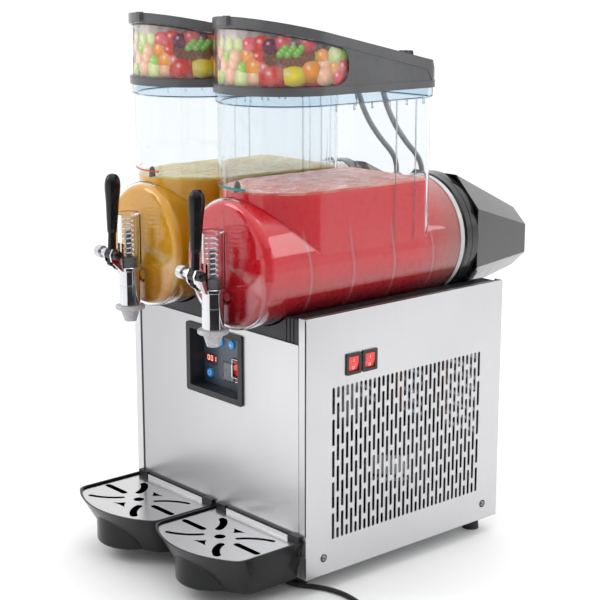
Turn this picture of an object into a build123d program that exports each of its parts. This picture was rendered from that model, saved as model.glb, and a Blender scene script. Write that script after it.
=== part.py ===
from build123d import *
import math
import os

# Twin-bowl slush machine. Millimetres, +Z up, the taps face -Y, the vented side with
# the two power switches is +X. While the pieces are made, X = 0 is the middle of the
# cabinet, Y = 0 its front panel and Z = 0 the worktop. place_on_origin() then moves
# every piece so that the origin is the bottom centre of the machine without its cord.

# ---------------------------------------------------------------- driving dimensions
CABINET_WIDTH = 400.0
CABINET_DEPTH = 393.0
FOOT_HEIGHT = 25.0
FOOT_RADIUS = 13.0
FRONT_FOOT_X, FRONT_FOOT_Y = 150.0, 30.0
REAR_FOOT_X, REAR_FOOT_Y = 168.0, 22.0
CABINET_TOP = 398.0
FRONT_PANEL_TOP = 360.0
SHEET = 1.2
SIDE_FLANGE = 15.0
TOP_FLANGE = 9.0
PANEL_GAP = 0.8

DECK_TOP = 395.0
DECK_WALL = 3.0
DECK_SIDE_GAP = 1.6
HOOD_CLEARANCE = 0.8
DECK_GROOVES = 3
DECK_GROOVE_X = 158.0

BOWL_PITCH = 196.0
DRUM_AXIS_Z = 465.0
DRUM_RADIUS = 91.0
DRUM_FRONT_Y = -58.0
DRUM_REAR_Y = 311.0
DRUM_EDGE_RADIUS = 13.0
BOWL_WALL = 3.5
TANK_HALF_WIDTH = 90.0
TANK_BACK_Y = 253.0
TANK_TOP_Z = 693.0
TANK_BACK_RADIUS = 18.0
FLANGE_HEIGHT = 14.0
FLANGE_PROUD = 3.0
SLUSH_TOP_Z = 562.0
SLUSH_GAP = 0.3

EVAPORATOR_RADIUS = 60.0
EVAPORATOR_FRONT_Y = 18.0
AUGER_INNER = 61.5
AUGER_OUTER = 77.5
AUGER_PITCH = 96.0
AUGER_BLADE = 5.0
AUGER_FRONT_Y = 24.0
AUGER_REAR_Y = 300.0
AUGER_CAVITY_RADIUS = 80.0
AUGER_CAVITY_FRONT_Y = -12.0
SHAFT_RADIUS = 8.0

SEAL_THICKNESS = 9.6
COLLAR_RADIUS = 92.0
COLLAR_FRONT_Y = 321.5
COLLAR_REAR_Y = 348.0
HOUSING_REAR_Y = 500.0
HOUSING_WALL = 3.0

LID_PROUD = 5.0
LID_BACK_Y = 259.0
LID_RIM_HEIGHT = 10.0
LID_TOP_FRONT_Z = 795.0
LID_TOP_BACK_Z = 731.0
LID_SLOPE_END_Y = 241.0
LID_WALL = 2.5
WINDOW_BOTTOM_Z = 705.0
WINDOW_END_Y = 81.0
WINDOW_BELOW_TOP = 14.0
WINDOW_END_RADIUS = 20.0

TAP_AXIS_Y = -78.0
TAP_TUBE_RADIUS = 16.0
TAP_TUBE_BORE = 12.2
TAP_TUBE_TOP_Z = 515.0
TAP_TUBE_STEP_Z = 437.0
TAP_SLEEVE_RADIUS = 15.0
TAP_SLEEVE_BOTTOM_Z = 380.0
TAP_DUCT_Z = 421.0
TAP_DUCT_RADIUS = 8.0
PISTON_RADIUS = 12.15
PISTON_BOTTOM_Z = 404.0
PISTON_TOP_Z = 450.0
LEVER_PIVOT_Y = -107.0
LEVER_PIVOT_Z = 458.0
LEVER_TOP_Z = 573.0
LEVER_FINGER_Z = 443.0
PIN_RADIUS = 3.0

TRAY_WIDTH = 194.0
TRAY_REACH = 146.0
TRAY_TOP_Z = 82.0
TRAY_BOTTOM_Z = 22.0
TRAY_WALL = 2.6
TRAY_BELLY_RADIUS = 56.0

BEZEL_WIDTH = 130.0
BEZEL_HEIGHT = 104.0
BEZEL_CENTRE_Z = 298.0
BEZEL_BAND = 9.0
BEZEL_RECESS = 24.0

SWITCH_CENTRES_Y = (86.5, 117.5)
SWITCH_CENTRE_Z = 323.0

CORD_DIAMETER = 7.0
COIL_MIDDLE_DIAMETER = 77.0
COIL_TURNS_WIDE = 2
COIL_HEIGHT = 15.0

HALF_WIDTH = CABINET_WIDTH / 2
BOWL_X = {"left": -BOWL_PITCH / 2, "right": BOWL_PITCH / 2}
SIDES = ("left", "right")


# ---------------------------------------------------------------- small helpers
def block(x0, x1, y0, y1, z0, z1):
    """A box between two corners."""
    middle = ((x0 + x1) / 2, (y0 + y1) / 2, (z0 + z1) / 2)
    return Pos(*middle) * Box(x1 - x0, y1 - y0, z1 - z0)


def rod_x(radius, x0, x1, y, z):
    return Pos((x0 + x1) / 2, y, z) * Rot(0, 90, 0) * Cylinder(radius, x1 - x0)


def rod_y(radius, y0, y1, x, z):
    return Pos(x, (y0 + y1) / 2, z) * Rot(90, 0, 0) * Cylinder(radius, y1 - y0)


def rod_z(radius, z0, z1, x, y):
    return Pos(x, y, (z0 + z1) / 2) * Cylinder(radius, z1 - z0)


def cone_z(radius_low, radius_high, z0, z1, x, y):
    return Pos(x, y, (z0 + z1) / 2) * Cone(radius_low, radius_high, z1 - z0)


def rounded_block(x0, x1, y0, y1, z0, z1, radius, axis):
    """A box whose four edges along one axis are rounded."""
    body = block(x0, x1, y0, y1, z0, z1)
    return fillet(body.edges().filter_by(axis), radius)


def group(pieces):
    """Several separate solids kept in one node."""
    return Compound([solid for piece in pieces for solid in piece.solids()])


def side_profile(points, x0, x1):
    """A prism along X of a profile drawn in the Y-Z plane."""
    face = Plane.YZ * make_face(Polyline(*points, close=True))
    return Pos(x0, 0, 0) * extrude(face, amount=x1 - x0)


# ---------------------------------------------------------------- cabinet
def base_pan():
    """Folded sheet tray that carries the refrigeration, with upturned edges."""
    inset = SHEET + 0.3
    x1 = HALF_WIDTH - inset
    z0 = FOOT_HEIGHT
    lip_z = z0 + 20
    outer = block(-x1, x1, inset, CABINET_DEPTH - inset, z0, lip_z)
    y1 = CABINET_DEPTH - inset - SHEET
    inner = block(-x1 + SHEET, x1 - SHEET, inset + SHEET, y1, z0 + SHEET, lip_z + 1)
    pan = outer - inner
    for x, y in foot_places():
        pan -= rod_z(4.2, z0 - 1, z0 + SHEET + 1, x, y)
    return pan


def foot_places():
    rear_y = CABINET_DEPTH - REAR_FOOT_Y
    return [(side * x, y) for x, y in ((FRONT_FOOT_X, FRONT_FOOT_Y), (REAR_FOOT_X, rear_y)) for side in (-1, 1)]


def feet():
    """Four tapered rubber feet, each with its stud through the pan."""
    pieces = []
    for x, y in foot_places():
        pad = cone_z(FOOT_RADIUS, FOOT_RADIUS - 2, 0, FOOT_HEIGHT - 5, x, y)
        neck = rod_z(FOOT_RADIUS - 4, FOOT_HEIGHT - 5, FOOT_HEIGHT, x, y)
        stud = rod_z(4.0, FOOT_HEIGHT, FOOT_HEIGHT + 9, x, y)
        pieces.append(pad + neck + stud)
    return group(pieces)


def front_panel():
    """Plain front sheet with a folded top edge and the cut-out for the control bezel."""
    x1 = HALF_WIDTH - SIDE_FLANGE - PANEL_GAP
    sheet = block(-x1, x1, 0, SHEET, FOOT_HEIGHT, FRONT_PANEL_TOP)
    top_fold = block(-x1, x1, SHEET, 12, FRONT_PANEL_TOP - SHEET, FRONT_PANEL_TOP)
    cut_x = BEZEL_WIDTH / 2 - 5
    cut_z = BEZEL_HEIGHT / 2 - 5
    cut = block(-cut_x, cut_x, -1, SHEET + 1, BEZEL_CENTRE_Z - cut_z, BEZEL_CENTRE_Z + cut_z)
    return sheet + top_fold - cut


def vent_slots(x0, x1):
    """Staggered columns of upright slots, cut through a side panel."""
    columns = 35
    column_pitch = 8.66
    slot_width = 4.8
    slot_length = 38.3
    row_pitch = 45.6
    first_y = 50.5
    bottom_z = 74.0
    rows = 5
    full_height = rows * row_pitch - (row_pitch - slot_length)
    half = row_pitch / 2
    short = full_height - (rows - 1) * row_pitch - half
    sketches = []
    for column in range(columns):
        y = first_y + column * column_pitch
        if column % 2 == 0:
            spans = [(bottom_z + row * row_pitch, slot_length) for row in range(rows)]
        else:
            spans = [(bottom_z + half + row * row_pitch, slot_length) for row in range(rows - 1)]
            low_length = half - (row_pitch - slot_length)
            spans.insert(0, (bottom_z, low_length))
            spans.append((bottom_z + half + (rows - 1) * row_pitch, short))
        for z, length in spans:
            sketches.append(Pos(y, z + length / 2) * SlotOverall(length, slot_width, rotation=90))
    face = Plane.YZ * (Sketch() + sketches)
    return Pos(x0, 0, 0) * extrude(face, amount=x1 - x0)


def side_panel(side):
    """Vented side sheet, folded at the front, back and top; the right one holds the switches."""
    z0, z1 = FOOT_HEIGHT, CABINET_TOP
    y1 = CABINET_DEPTH
    x_out = HALF_WIDTH
    panel = block(x_out - SHEET, x_out, 0, y1, z0, z1)
    panel += block(x_out - SIDE_FLANGE, x_out, 0, SHEET, z0, z1)
    panel += block(x_out - SIDE_FLANGE, x_out, y1 - SHEET, y1, z0, z1)
    panel += block(x_out - TOP_FLANGE, x_out, 0, y1, z1 - SHEET, z1)
    panel -= vent_slots(x_out - 5, x_out + 1)
    for y, z in side_screw_places():
        panel -= rod_x(2.2, x_out - 3, x_out + 1, y, z)
    if side == "left":
        return mirror(panel, about=Plane.YZ)
    for y in SWITCH_CENTRES_Y:
        z = SWITCH_CENTRE_Z
        panel -= block(x_out - 5, x_out + 1, y - 12, y + 12, z - 13, z + 13)
    return panel


def side_screw_places():
    return [(33, 50), (CABINET_DEPTH - 32, 50)]


def back_panel():
    """Rear sheet with louvre slots and the hole for the cord gland."""
    x1 = HALF_WIDTH - SIDE_FLANGE - PANEL_GAP
    y1 = CABINET_DEPTH
    sheet = block(-x1, x1, y1 - SHEET, y1, FOOT_HEIGHT, CABINET_TOP - 32)
    for row in range(9):
        for column in range(3):
            x = -112 + column * 112
            z = 150 + row * 17
            slot = Plane.XZ * Pos(x, z) * SlotOverall(84, 6)
            sheet -= Pos(0, y1 - SHEET - 2, 0) * extrude(slot, amount=-(SHEET + 4))
    sheet -= rod_y(8.1, y1 - 3, y1 + 1, GLAND_X, GLAND_Z)
    return sheet


def deck_block(grow):
    """The deck's outer form, or its hollow when grow is negative."""
    x1 = HALF_WIDTH - DECK_SIDE_GAP + grow
    y0 = SHEET + 0.4 - grow
    y1 = CABINET_DEPTH - SHEET - 0.4 + grow
    body = block(-x1, x1, y0, y1, FRONT_PANEL_TOP + 0.1, DECK_TOP + grow)
    for x in BOWL_X.values():
        hood = housing_form(x, grow - HOOD_CLEARANCE)
        body -= rod_y(COLLAR_RADIUS + 0.6 - grow, y0 - 1, y1 + 1, x, DRUM_AXIS_Z)
        body -= hood + Pos(0, grow - 0.5, 0) * hood
    return body


def top_deck():
    """Black plastic deck between the side panels, with a half-round cradle under each bowl."""
    deck = deck_block(0) - deck_block(-DECK_WALL)
    for index in range(DECK_GROOVES):
        for x in (DECK_GROOVE_X + index * 7.5, -DECK_GROOVE_X - index * 7.5):
            deck -= block(x - 1.2, x + 1.2, 0, SHEET + 1.6, 0, DECK_TOP + 1)
    return deck


# ---------------------------------------------------------------- controls
def frame_ring(x_half, z_half, band, y0, y1, radius):
    """Upright rectangular ring round the control recess."""
    z = BEZEL_CENTRE_Z
    outer = rounded_block(-x_half, x_half, y0, y1, z - z_half, z + z_half, radius, Axis.Y)
    xi, zi = x_half - band, z_half - band
    inner = rounded_block(-xi, xi, y0 - 1, y1 + 1, z - zi, z + zi, radius / 2, Axis.Y)
    return outer - inner


def control_bezel():
    """Dark frame round the recessed control face, with a sleeve that reaches back to it."""
    half_x, half_z = BEZEL_WIDTH / 2, BEZEL_HEIGHT / 2
    lip = frame_ring(half_x, half_z, BEZEL_BAND, -3, -0.05, 4)
    sleeve = frame_ring(half_x - 5.3, half_z - 5.3, BEZEL_BAND - 5.3, -0.05, BEZEL_RECESS, 3)
    return lip + sleeve


CONTROL_X = {"up": 10.0, "down": -16.0, "set": -41.0}
CONTROL_Z = {"up": 323.0, "down": 323.0, "set": 271.0}
BUTTON_RADIUS = 6.6
DISPLAY_X, DISPLAY_Z = -39.0, 293.0
MAIN_SWITCH_X, MAIN_SWITCH_Z = 24.0, 288.0


def control_face():
    """Back plate of the recess, with holes for the keys and the rocker and a display window."""
    x1 = BEZEL_WIDTH / 2 - 5.5
    z1 = BEZEL_HEIGHT / 2 - 5.5
    y0 = BEZEL_RECESS
    plate = block(-x1, x1, y0, y0 + 3, BEZEL_CENTRE_Z - z1, BEZEL_CENTRE_Z + z1)
    board = block(-x1 + 4, x1 - 4, y0 + 6, y0 + 7.6, BEZEL_CENTRE_Z - z1 + 4, BEZEL_CENTRE_Z + z1 - 4)
    posts = [rod_y(2.5, y0 + 3, y0 + 6, sx * (x1 - 8), BEZEL_CENTRE_Z + sz * (z1 - 8))
             for sx in (-1, 1) for sz in (-1, 1)]
    plate = plate + board + posts
    for name in CONTROL_X:
        plate -= rod_y(BUTTON_RADIUS + 0.3, y0 - 1, y0 + 4, CONTROL_X[name], CONTROL_Z[name])
    plate -= Pos(DISPLAY_X, y0, DISPLAY_Z) * Box(28, 2.4, 16)
    plate -= Pos(MAIN_SWITCH_X, y0 + 4, MAIN_SWITCH_Z) * Box(24, 10, 30)
    return plate


def key_button(name):
    """Round sprung key with a short stem behind the face plate."""
    x, z = CONTROL_X[name], CONTROL_Z[name]
    y0 = BEZEL_RECESS
    cap = rod_y(BUTTON_RADIUS, y0 - 2.6, y0 + 3.6, x, z)
    cap = fillet(cap.edges().sort_by(Axis.Y)[0], 0.9)
    return cap + rod_y(2.0, y0 + 3.6, y0 + 4.6, x, z)


def switch_housing():
    """Snap-in rocker switch body, facing -Y at the origin of its own frame."""
    body = block(-11.6, 11.6, 0, 19, -12.6, 12.6)
    lip = rounded_block(-14, 14, -2, 0, -15.5, 15.5, 2, Axis.Y)
    pocket = block(-9.4, 9.4, -3, 9, -11.2, 11.2)
    tabs = [block(x - 3, x + 3, 19, 27, -0.5, 0.5) for x in (-6, 6)]
    return body + lip + tabs - pocket


def rocker(tilt):
    """Two-lobed rocker on its own axle, tilted to the side that is pressed."""
    lobe = Plane.YZ * make_face(
        Polyline((6, -9.6), (-0.4, -10.6), (-1.6, 0), (-0.4, 10.6), (6, 9.6), (6, -9.6))
    )
    body = extrude(lobe, amount=9.0, both=True)
    return Pos(0, 2, 0) * Rot(tilt, 0, 0) * Pos(0, -2, 0) * body


ROCKER_TILT = 7.0


def side_switch_place(y):
    """Turns a switch that faces -Y so that it faces +X on the side panel."""
    return Pos(HALF_WIDTH, y, SWITCH_CENTRE_Z) * Rot(0, 0, 90)


def main_switch_place():
    return Pos(MAIN_SWITCH_X, BEZEL_RECESS, MAIN_SWITCH_Z)


def switch_housings():
    places = [main_switch_place()] + [side_switch_place(y) for y in SWITCH_CENTRES_Y]
    return group([place * switch_housing() for place in places])


def switch_boot():
    """Clear box-shaped splash cover clipped over the main rocker."""
    outer = rounded_block(-13, 13, -19, -2.05, -14.5, 14.5, 2, Axis.Y)
    inner = block(-11.4, 11.4, -17.4, 0, -12.9, 12.9)
    return main_switch_place() * (outer - inner)


# ---------------------------------------------------------------- refrigeration
COMPRESSOR_X, COMPRESSOR_Y = 88.0, 270.0
FAN_X, FAN_Y, FAN_Z = -92.0, 205.0, 168.0
FAN_RADIUS = 82.0


def compressor():
    """Hermetic pot on three rubber-footed lugs, with its terminal cover."""
    floor_z = FOOT_HEIGHT + SHEET
    pot = rod_z(72, floor_z + 14, floor_z + 150, COMPRESSOR_X, COMPRESSOR_Y)
    pot = fillet(pot.edges().sort_by(Axis.Z)[-1], 34)
    pot = fillet(pot.edges().sort_by(Axis.Z)[0], 14)
    pot -= rod_z(48, floor_z + 30, floor_z + 125, COMPRESSOR_X, COMPRESSOR_Y)
    seam = rod_z(75, floor_z + 84, floor_z + 88, COMPRESSOR_X, COMPRESSOR_Y)
    seam -= rod_z(60, floor_z + 80, floor_z + 90, COMPRESSOR_X, COMPRESSOR_Y)
    plate = Pos(COMPRESSOR_X, COMPRESSOR_Y, floor_z + 12.75) * Box(156, 112, 3.5)
    cover = Pos(COMPRESSOR_X, COMPRESSOR_Y - 80, floor_z + 72.5) * Box(48, 28, 55)
    body = pot + seam + plate + cover
    for sx in (-1, 1):
        for sy in (-1, 1):
            body += rod_z(9, floor_z, floor_z + 14, COMPRESSOR_X + sx * 68, COMPRESSOR_Y + sy * 46)
    return body


def condenser():
    """Finned coil between two end plates, standing at the left vents."""
    x0, x1 = -178.0, -140.0
    y0, y1 = 70.0, 340.0
    z0 = FOOT_HEIGHT + SHEET
    z1 = z0 + 268
    core = block(x0 + 2, x1 - 2, y0 + 4, y1 - 4, z0 + 6, z1 - 4)
    for index in range(22):
        z = z0 + 14 + index * 11.4
        core -= block(x0 - 1, x0 + 9, y0 + 10, y1 - 10, z, z + 6)
        core -= block(x1 - 9, x1 + 1, y0 + 10, y1 - 10, z, z + 6)
    plates = block(x0, x1, y0, y0 + 4, z0, z1) + block(x0, x1, y1 - 4, y1, z0, z1)
    bends = []
    for index in range(6):
        z = z0 + 35 + index * 40
        ring = Pos((x0 + x1) / 2, y1, z) * Rot(0, 90, 0) * Torus(9, 4.5)
        bends.append(ring & block(x0, x1, y1, y1 + 20, z - 20, z + 20))
    return core + plates + bends


def fan_motor():
    """Fan motor on a cross strut behind the condenser, with the shroud ring round the blade."""
    z0 = FOOT_HEIGHT + SHEET
    shroud = block(-139.5, -136.5, FAN_Y - 108, FAN_Y + 108, z0, FAN_Z + 104)
    shroud -= rod_x(FAN_RADIUS + 4, -150, -130, FAN_Y, FAN_Z)
    ring = rod_x(FAN_RADIUS + 7, -136.5, -112, FAN_Y, FAN_Z)
    ring -= rod_x(FAN_RADIUS + 4, -140, -100, FAN_Y, FAN_Z)
    motor = rod_x(34, -74, -30, FAN_Y, FAN_Z)
    motor = fillet(motor.edges().filter_by(GeomType.CIRCLE), 5)
    strut = Pos(-63, FAN_Y, FAN_Z) * Box(6, 192, 16) - rod_x(30, -90, -20, FAN_Y, FAN_Z)
    legs = [Pos(-98.25, FAN_Y + s * 93, FAN_Z) * Box(76.5, 6, 16) for s in (-1, 1)]
    stub = rod_x(3.0, -112, -74, FAN_Y, FAN_Z)
    return shroud + ring + motor + strut + legs + stub


def fan_blade():
    """Five-bladed axial fan on the motor's stub shaft."""
    hub = rod_x(20, -108, -84, FAN_Y, FAN_Z) - rod_x(3.06, -120, -70, FAN_Y, FAN_Z)
    fan = hub
    for index in range(5):
        blade = Pos(0, 0, 48) * Rot(0, 0, 34) * Box(2.2, 44, 62)
        blade &= Cylinder(FAN_RADIUS, 40, rotation=(0, 90, 0))
        fan += Pos(-96, FAN_Y, FAN_Z) * Rot(index * 72, 0, 0) * blade
    return fan


def bent_tube(points, radius, bend):
    path = FilletPolyline(*points, radius=bend)
    start = Plane(origin=path @ 0, z_dir=path % 0)
    return sweep(start * Circle(radius), path=path)


def refrigerant_lines():
    """Copper discharge and suction lines, and the filter drier."""
    z0 = FOOT_HEIGHT + SHEET
    discharge = bent_tube(
        [(60, 198, z0 + 120), (60, 150, z0 + 120), (60, 60, z0 + 170), (-100, 60, z0 + 186),
         (-159, 60, z0 + 190), (-159, 69.8, z0 + 190)], 3.2, 4)
    suction = bent_tube(
        [(110, 344, z0 + 60), (110, 366, z0 + 60), (110, 366, z0 + 300), (98, 340, z0 + 330)], 4.0, 12)
    drier = rod_z(11, 140, 230, 20, 352)
    drier = fillet(drier.edges().filter_by(GeomType.CIRCLE), 6)
    liquid = bent_tube([(20, 352, 229), (20, 352, 300), (-60, 352, 320), (-98, 340, 345)], 2.4, 10)
    return group([discharge, suction, drier + liquid])


def electrical_box():
    """Closed box behind the control recess for the relay board and terminals."""
    body = rounded_block(-60, 60, 52, 112, 232, 352, 4, Axis.Z)
    lid_line = body - block(-70, 70, 48, 53.2, 230, 236)
    return lid_line + block(-66, 66, 112, 115, 226, 358)


# ---------------------------------------------------------------- cooling drum and drive
def evaporators():
    """Stainless cooling drums with a flange at the bulkhead and a bearing nose in front."""
    pieces = []
    for x in BOWL_X.values():
        drum = rod_y(EVAPORATOR_RADIUS, EVAPORATOR_FRONT_Y, COLLAR_FRONT_Y - 4, x, DRUM_AXIS_Z)
        drum = fillet(drum.edges().sort_by(Axis.Y)[0], 8)
        flange = rod_y(EVAPORATOR_RADIUS + 14, COLLAR_FRONT_Y - 4, COLLAR_FRONT_Y, x, DRUM_AXIS_Z)
        cavity = rod_y(EVAPORATOR_RADIUS - 3, EVAPORATOR_FRONT_Y + 5, COLLAR_FRONT_Y + 1, x, DRUM_AXIS_Z)
        cavity -= rod_y(SHAFT_RADIUS + 5, EVAPORATOR_FRONT_Y, COLLAR_FRONT_Y + 2, x, DRUM_AXIS_Z)
        nose = rod_y(15, EVAPORATOR_FRONT_Y - 8, EVAPORATOR_FRONT_Y + 1, x, DRUM_AXIS_Z)
        bore = rod_y(SHAFT_RADIUS + 0.06, -20, COLLAR_FRONT_Y + 1, x, DRUM_AXIS_Z)
        pieces.append(drum + flange + nose - bore - cavity)
    return group(pieces)


def auger(side):
    """Helical scraper round the drum, carried by a front spider on the drive shaft."""
    x = BOWL_X[side]
    middle = (AUGER_INNER + AUGER_OUTER) / 2
    path = Helix(pitch=AUGER_PITCH, height=AUGER_REAR_Y - AUGER_FRONT_Y, radius=middle)
    section = Plane(origin=path @ 0, x_dir=(1, 0, 0), z_dir=path % 0)
    blade = sweep(section * Rectangle(AUGER_OUTER - AUGER_INNER, AUGER_BLADE), path=path, is_frenet=True)
    screw = Pos(x, AUGER_FRONT_Y, DRUM_AXIS_Z) * Rot(-90, 0, 0) * blade
    spider_front = -6.0
    spider_rear = EVAPORATOR_FRONT_Y - 9
    hub = rod_y(17, spider_front, spider_rear, x, DRUM_AXIS_Z)
    arm_length = 2 * AUGER_OUTER - 2
    arm = Pos(x, (spider_rear - 1) / 2, DRUM_AXIS_Z) * Box(arm_length, spider_rear - 1, 14)
    bars = [
        block(x + s * 70.5 - 6, x + s * 70.5 + 6, 0, AUGER_REAR_Y - 12, DRUM_AXIS_Z - 5, DRUM_AXIS_Z + 5)
        for s in (-1, 1)
    ]
    limit = rod_y(AUGER_OUTER - 0.4, -20, 400, x, DRUM_AXIS_Z)
    limit -= rod_y(AUGER_INNER + 1, 10, 400, x, DRUM_AXIS_Z)
    frame = hub + arm
    frame += [bar & limit for bar in bars]
    frame -= rod_y(SHAFT_RADIUS - 0.5, -20, 60, x, DRUM_AXIS_Z)
    screw = screw + frame
    shaft = rod_y(SHAFT_RADIUS, spider_rear, COLLAR_REAR_Y + 2, x, DRUM_AXIS_Z)
    shaft += rod_y(SHAFT_RADIUS - 0.5, spider_front - 3, spider_rear, x, DRUM_AXIS_Z)
    return group([screw, shaft])


def bowl_seals():
    """Rubber rings between the bowls' rear rims and the bulkheads."""
    pieces = []
    for x in BOWL_X.values():
        y0 = DRUM_REAR_Y + 0.3
        y1 = COLLAR_FRONT_Y
        ring = rod_y(DRUM_RADIUS - 0.5, y0, y1, x, DRUM_AXIS_Z)
        ring = fillet(ring.edges().filter_by(GeomType.CIRCLE), 2.5)
        pieces.append(ring - rod_y(EVAPORATOR_RADIUS + 15, y0 - 1, y1 + 1, x, DRUM_AXIS_Z))
    return group(pieces)


def housing_collars():
    """Round collars with the bulkhead that carries each cooling drum."""
    pieces = []
    for x in BOWL_X.values():
        ring = rod_y(COLLAR_RADIUS, COLLAR_FRONT_Y, COLLAR_REAR_Y, x, DRUM_AXIS_Z)
        ring = chamfer(ring.edges().sort_by(Axis.Y)[0], 2.5)
        ring -= rod_y(COLLAR_RADIUS - 4, COLLAR_FRONT_Y + 5, COLLAR_REAR_Y + 1, x, DRUM_AXIS_Z)
        ring -= rod_y(SHAFT_RADIUS + 1, COLLAR_FRONT_Y - 1, COLLAR_REAR_Y, x, DRUM_AXIS_Z)
        seam_y = (COLLAR_FRONT_Y + COLLAR_REAR_Y) / 2
        seam = rod_y(COLLAR_RADIUS + 1, seam_y - 0.5, seam_y + 0.5, x, DRUM_AXIS_Z)
        ring -= seam - rod_y(COLLAR_RADIUS - 0.9, seam_y - 2, seam_y + 2, x, DRUM_AXIS_Z)
        pieces.append(ring)
    return group(pieces)


def octagon(half_width, half_height, cut_x, cut_z, y, x, z):
    points = []
    for sx, sz in ((1, 1), (-1, 1), (-1, -1), (1, -1)):
        near_top = (sx * (half_width - cut_x), sz * half_height)
        near_side = (sx * half_width, sz * (half_height - cut_z))
        points += [near_side, near_top] if sx * sz > 0 else [near_top, near_side]
    outline = Polyline(*[(x + px, y, z + pz) for px, pz in points], close=True)
    return make_face(outline)


def housing_form(x, shrink):
    """Octagonal hood that narrows and drops towards the back."""
    front = octagon(90 - shrink, 90 - shrink, 46, 46, COLLAR_REAR_Y + 0.05, x, DRUM_AXIS_Z)
    rear_y = HOUSING_REAR_Y - shrink
    rear = octagon(52 - shrink, 46 - shrink, 26, 24, rear_y, x, DRUM_AXIS_Z - 23)
    return loft([front, rear], ruled=True)


CONDUIT_X = 28.0
CONDUIT_BOSS_Y = 392.0
CONDUIT_BOSS_TOP = 536.0
CONDUIT_RADIUS = 4.5


def rear_housings():
    """Gear motor hoods with rear vents and a socket boss for the lamp lead."""
    pieces = []
    for side in SIDES:
        x = BOWL_X[side]
        outer = housing_form(x, 0)
        hood = outer - housing_form(x, HOUSING_WALL)
        lead_x = math.copysign(CONDUIT_X, x)
        boss = rod_z(8, 480, CONDUIT_BOSS_TOP, lead_x, CONDUIT_BOSS_Y) - housing_form(x, HOUSING_WALL / 2)
        boss -= block(lead_x - 20, lead_x + 20, 350, 450, 400, 500)
        hood += boss
        for index in range(4):
            z = DRUM_AXIS_Z - 47 + index * 14
            hood -= block(x - 26, x + 26, HOUSING_REAR_Y - 8, HOUSING_REAR_Y + 1, z, z + 5)
        pieces.append(hood)
    return group(pieces)


def gear_motors():
    """Right-angle gear motors bolted behind the bulkheads."""
    pieces = []
    for x in BOWL_X.values():
        y0 = COLLAR_REAR_Y + 2.5
        z = DRUM_AXIS_Z
        gearbox = rounded_block(x - 46, x + 46, y0, y0 + 48, z - 42, z + 42, 8, Axis.Y)
        motor = rod_y(34, y0 + 48, y0 + 110, x, DRUM_AXIS_Z - 12)
        motor = fillet(motor.edges().sort_by(Axis.Y)[-1], 8)
        spacer = rod_y(24, COLLAR_FRONT_Y + 5, y0, x, DRUM_AXIS_Z)
        spacer -= rod_y(SHAFT_RADIUS + 0.8, COLLAR_FRONT_Y, y0 + 0.1, x, DRUM_AXIS_Z)
        pieces.append(gearbox + motor + spacer)
    return group(pieces)


# ---------------------------------------------------------------- bowls
NOSE_CENTRE_Y = 48.0


def tank_outline(grow):
    """Plan of the tank: round nose, straight sides, rounded back corners."""
    half = TANK_HALF_WIDTH + grow
    back = TANK_BACK_Y + grow
    straight = Pos(0, (NOSE_CENTRE_Y + back) / 2) * Rectangle(2 * half, back - NOSE_CENTRE_Y)
    straight = fillet(straight.vertices().group_by(Axis.Y)[-1], TANK_BACK_RADIUS + grow)
    return Pos(0, NOSE_CENTRE_Y) * Circle(half) + straight


def tank_prism(x, grow, z0, z1):
    return extrude(Pos(x, 0, z0) * tank_outline(grow), amount=z1 - z0)


def bowl_form(x, grow, top_z, rear_y):
    """Tank over a horizontal drum that reaches further to the front and the back."""
    drum = rod_y(DRUM_RADIUS + grow, DRUM_FRONT_Y - grow, rear_y, x, DRUM_AXIS_Z)
    drum = fillet(drum.edges().sort_by(Axis.Y)[0], DRUM_EDGE_RADIUS + grow)
    return drum + tank_prism(x, grow, DRUM_AXIS_Z, top_z)


def bowl(side):
    """Clear bowl moulding with its rim flange and the upright tap tube on its front plate."""
    x = BOWL_X[side]
    y = TAP_AXIS_Y
    shell = bowl_form(x, 0, TANK_TOP_Z, DRUM_REAR_Y)
    flange = tank_prism(x, FLANGE_PROUD, TANK_TOP_Z - FLANGE_HEIGHT, TANK_TOP_Z)
    flange = chamfer(flange.edges().group_by(Axis.Z)[0], 1.6)
    tube = rod_z(TAP_TUBE_RADIUS, TAP_TUBE_STEP_Z, TAP_TUBE_TOP_Z, x, y)
    tube += rod_z(TAP_SLEEVE_RADIUS - 2.1, TAP_SLEEVE_BOTTOM_Z + 2, TAP_TUBE_STEP_Z, x, y)
    duct = rod_y(TAP_DUCT_RADIUS + 3, y, DRUM_FRONT_Y + 1, x, TAP_DUCT_Z)
    web = block(x - 2.5, x + 2.5, y + 12, DRUM_FRONT_Y + 1, TAP_TUBE_STEP_Z, TAP_TUBE_TOP_Z - 5)
    shell = shell + flange + tube + duct + web
    shell -= bowl_form(x, -BOWL_WALL, TANK_TOP_Z + 1, DRUM_REAR_Y + 1)
    shell -= rod_z(TAP_TUBE_BORE, TAP_SLEEVE_BOTTOM_Z, TAP_TUBE_TOP_Z - 3, x, y)
    shell -= rod_y(TAP_DUCT_RADIUS, y, DRUM_FRONT_Y + 10, x, TAP_DUCT_Z)
    shell -= block(x - 5, x + 5, y - 20, y - 6, TAP_TUBE_STEP_Z, LEVER_PIVOT_Z + 14)
    return shell


def slush(side):
    """The drink itself: it fills the bowl to its level, around the auger's sweep."""
    x = BOWL_X[side]
    body = bowl_form(x, -BOWL_WALL - SLUSH_GAP, SLUSH_TOP_Z, DRUM_REAR_Y - 0.2)
    return body - rod_y(AUGER_CAVITY_RADIUS, AUGER_CAVITY_FRONT_Y, DRUM_REAR_Y + 1, x, DRUM_AXIS_Z)


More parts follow.
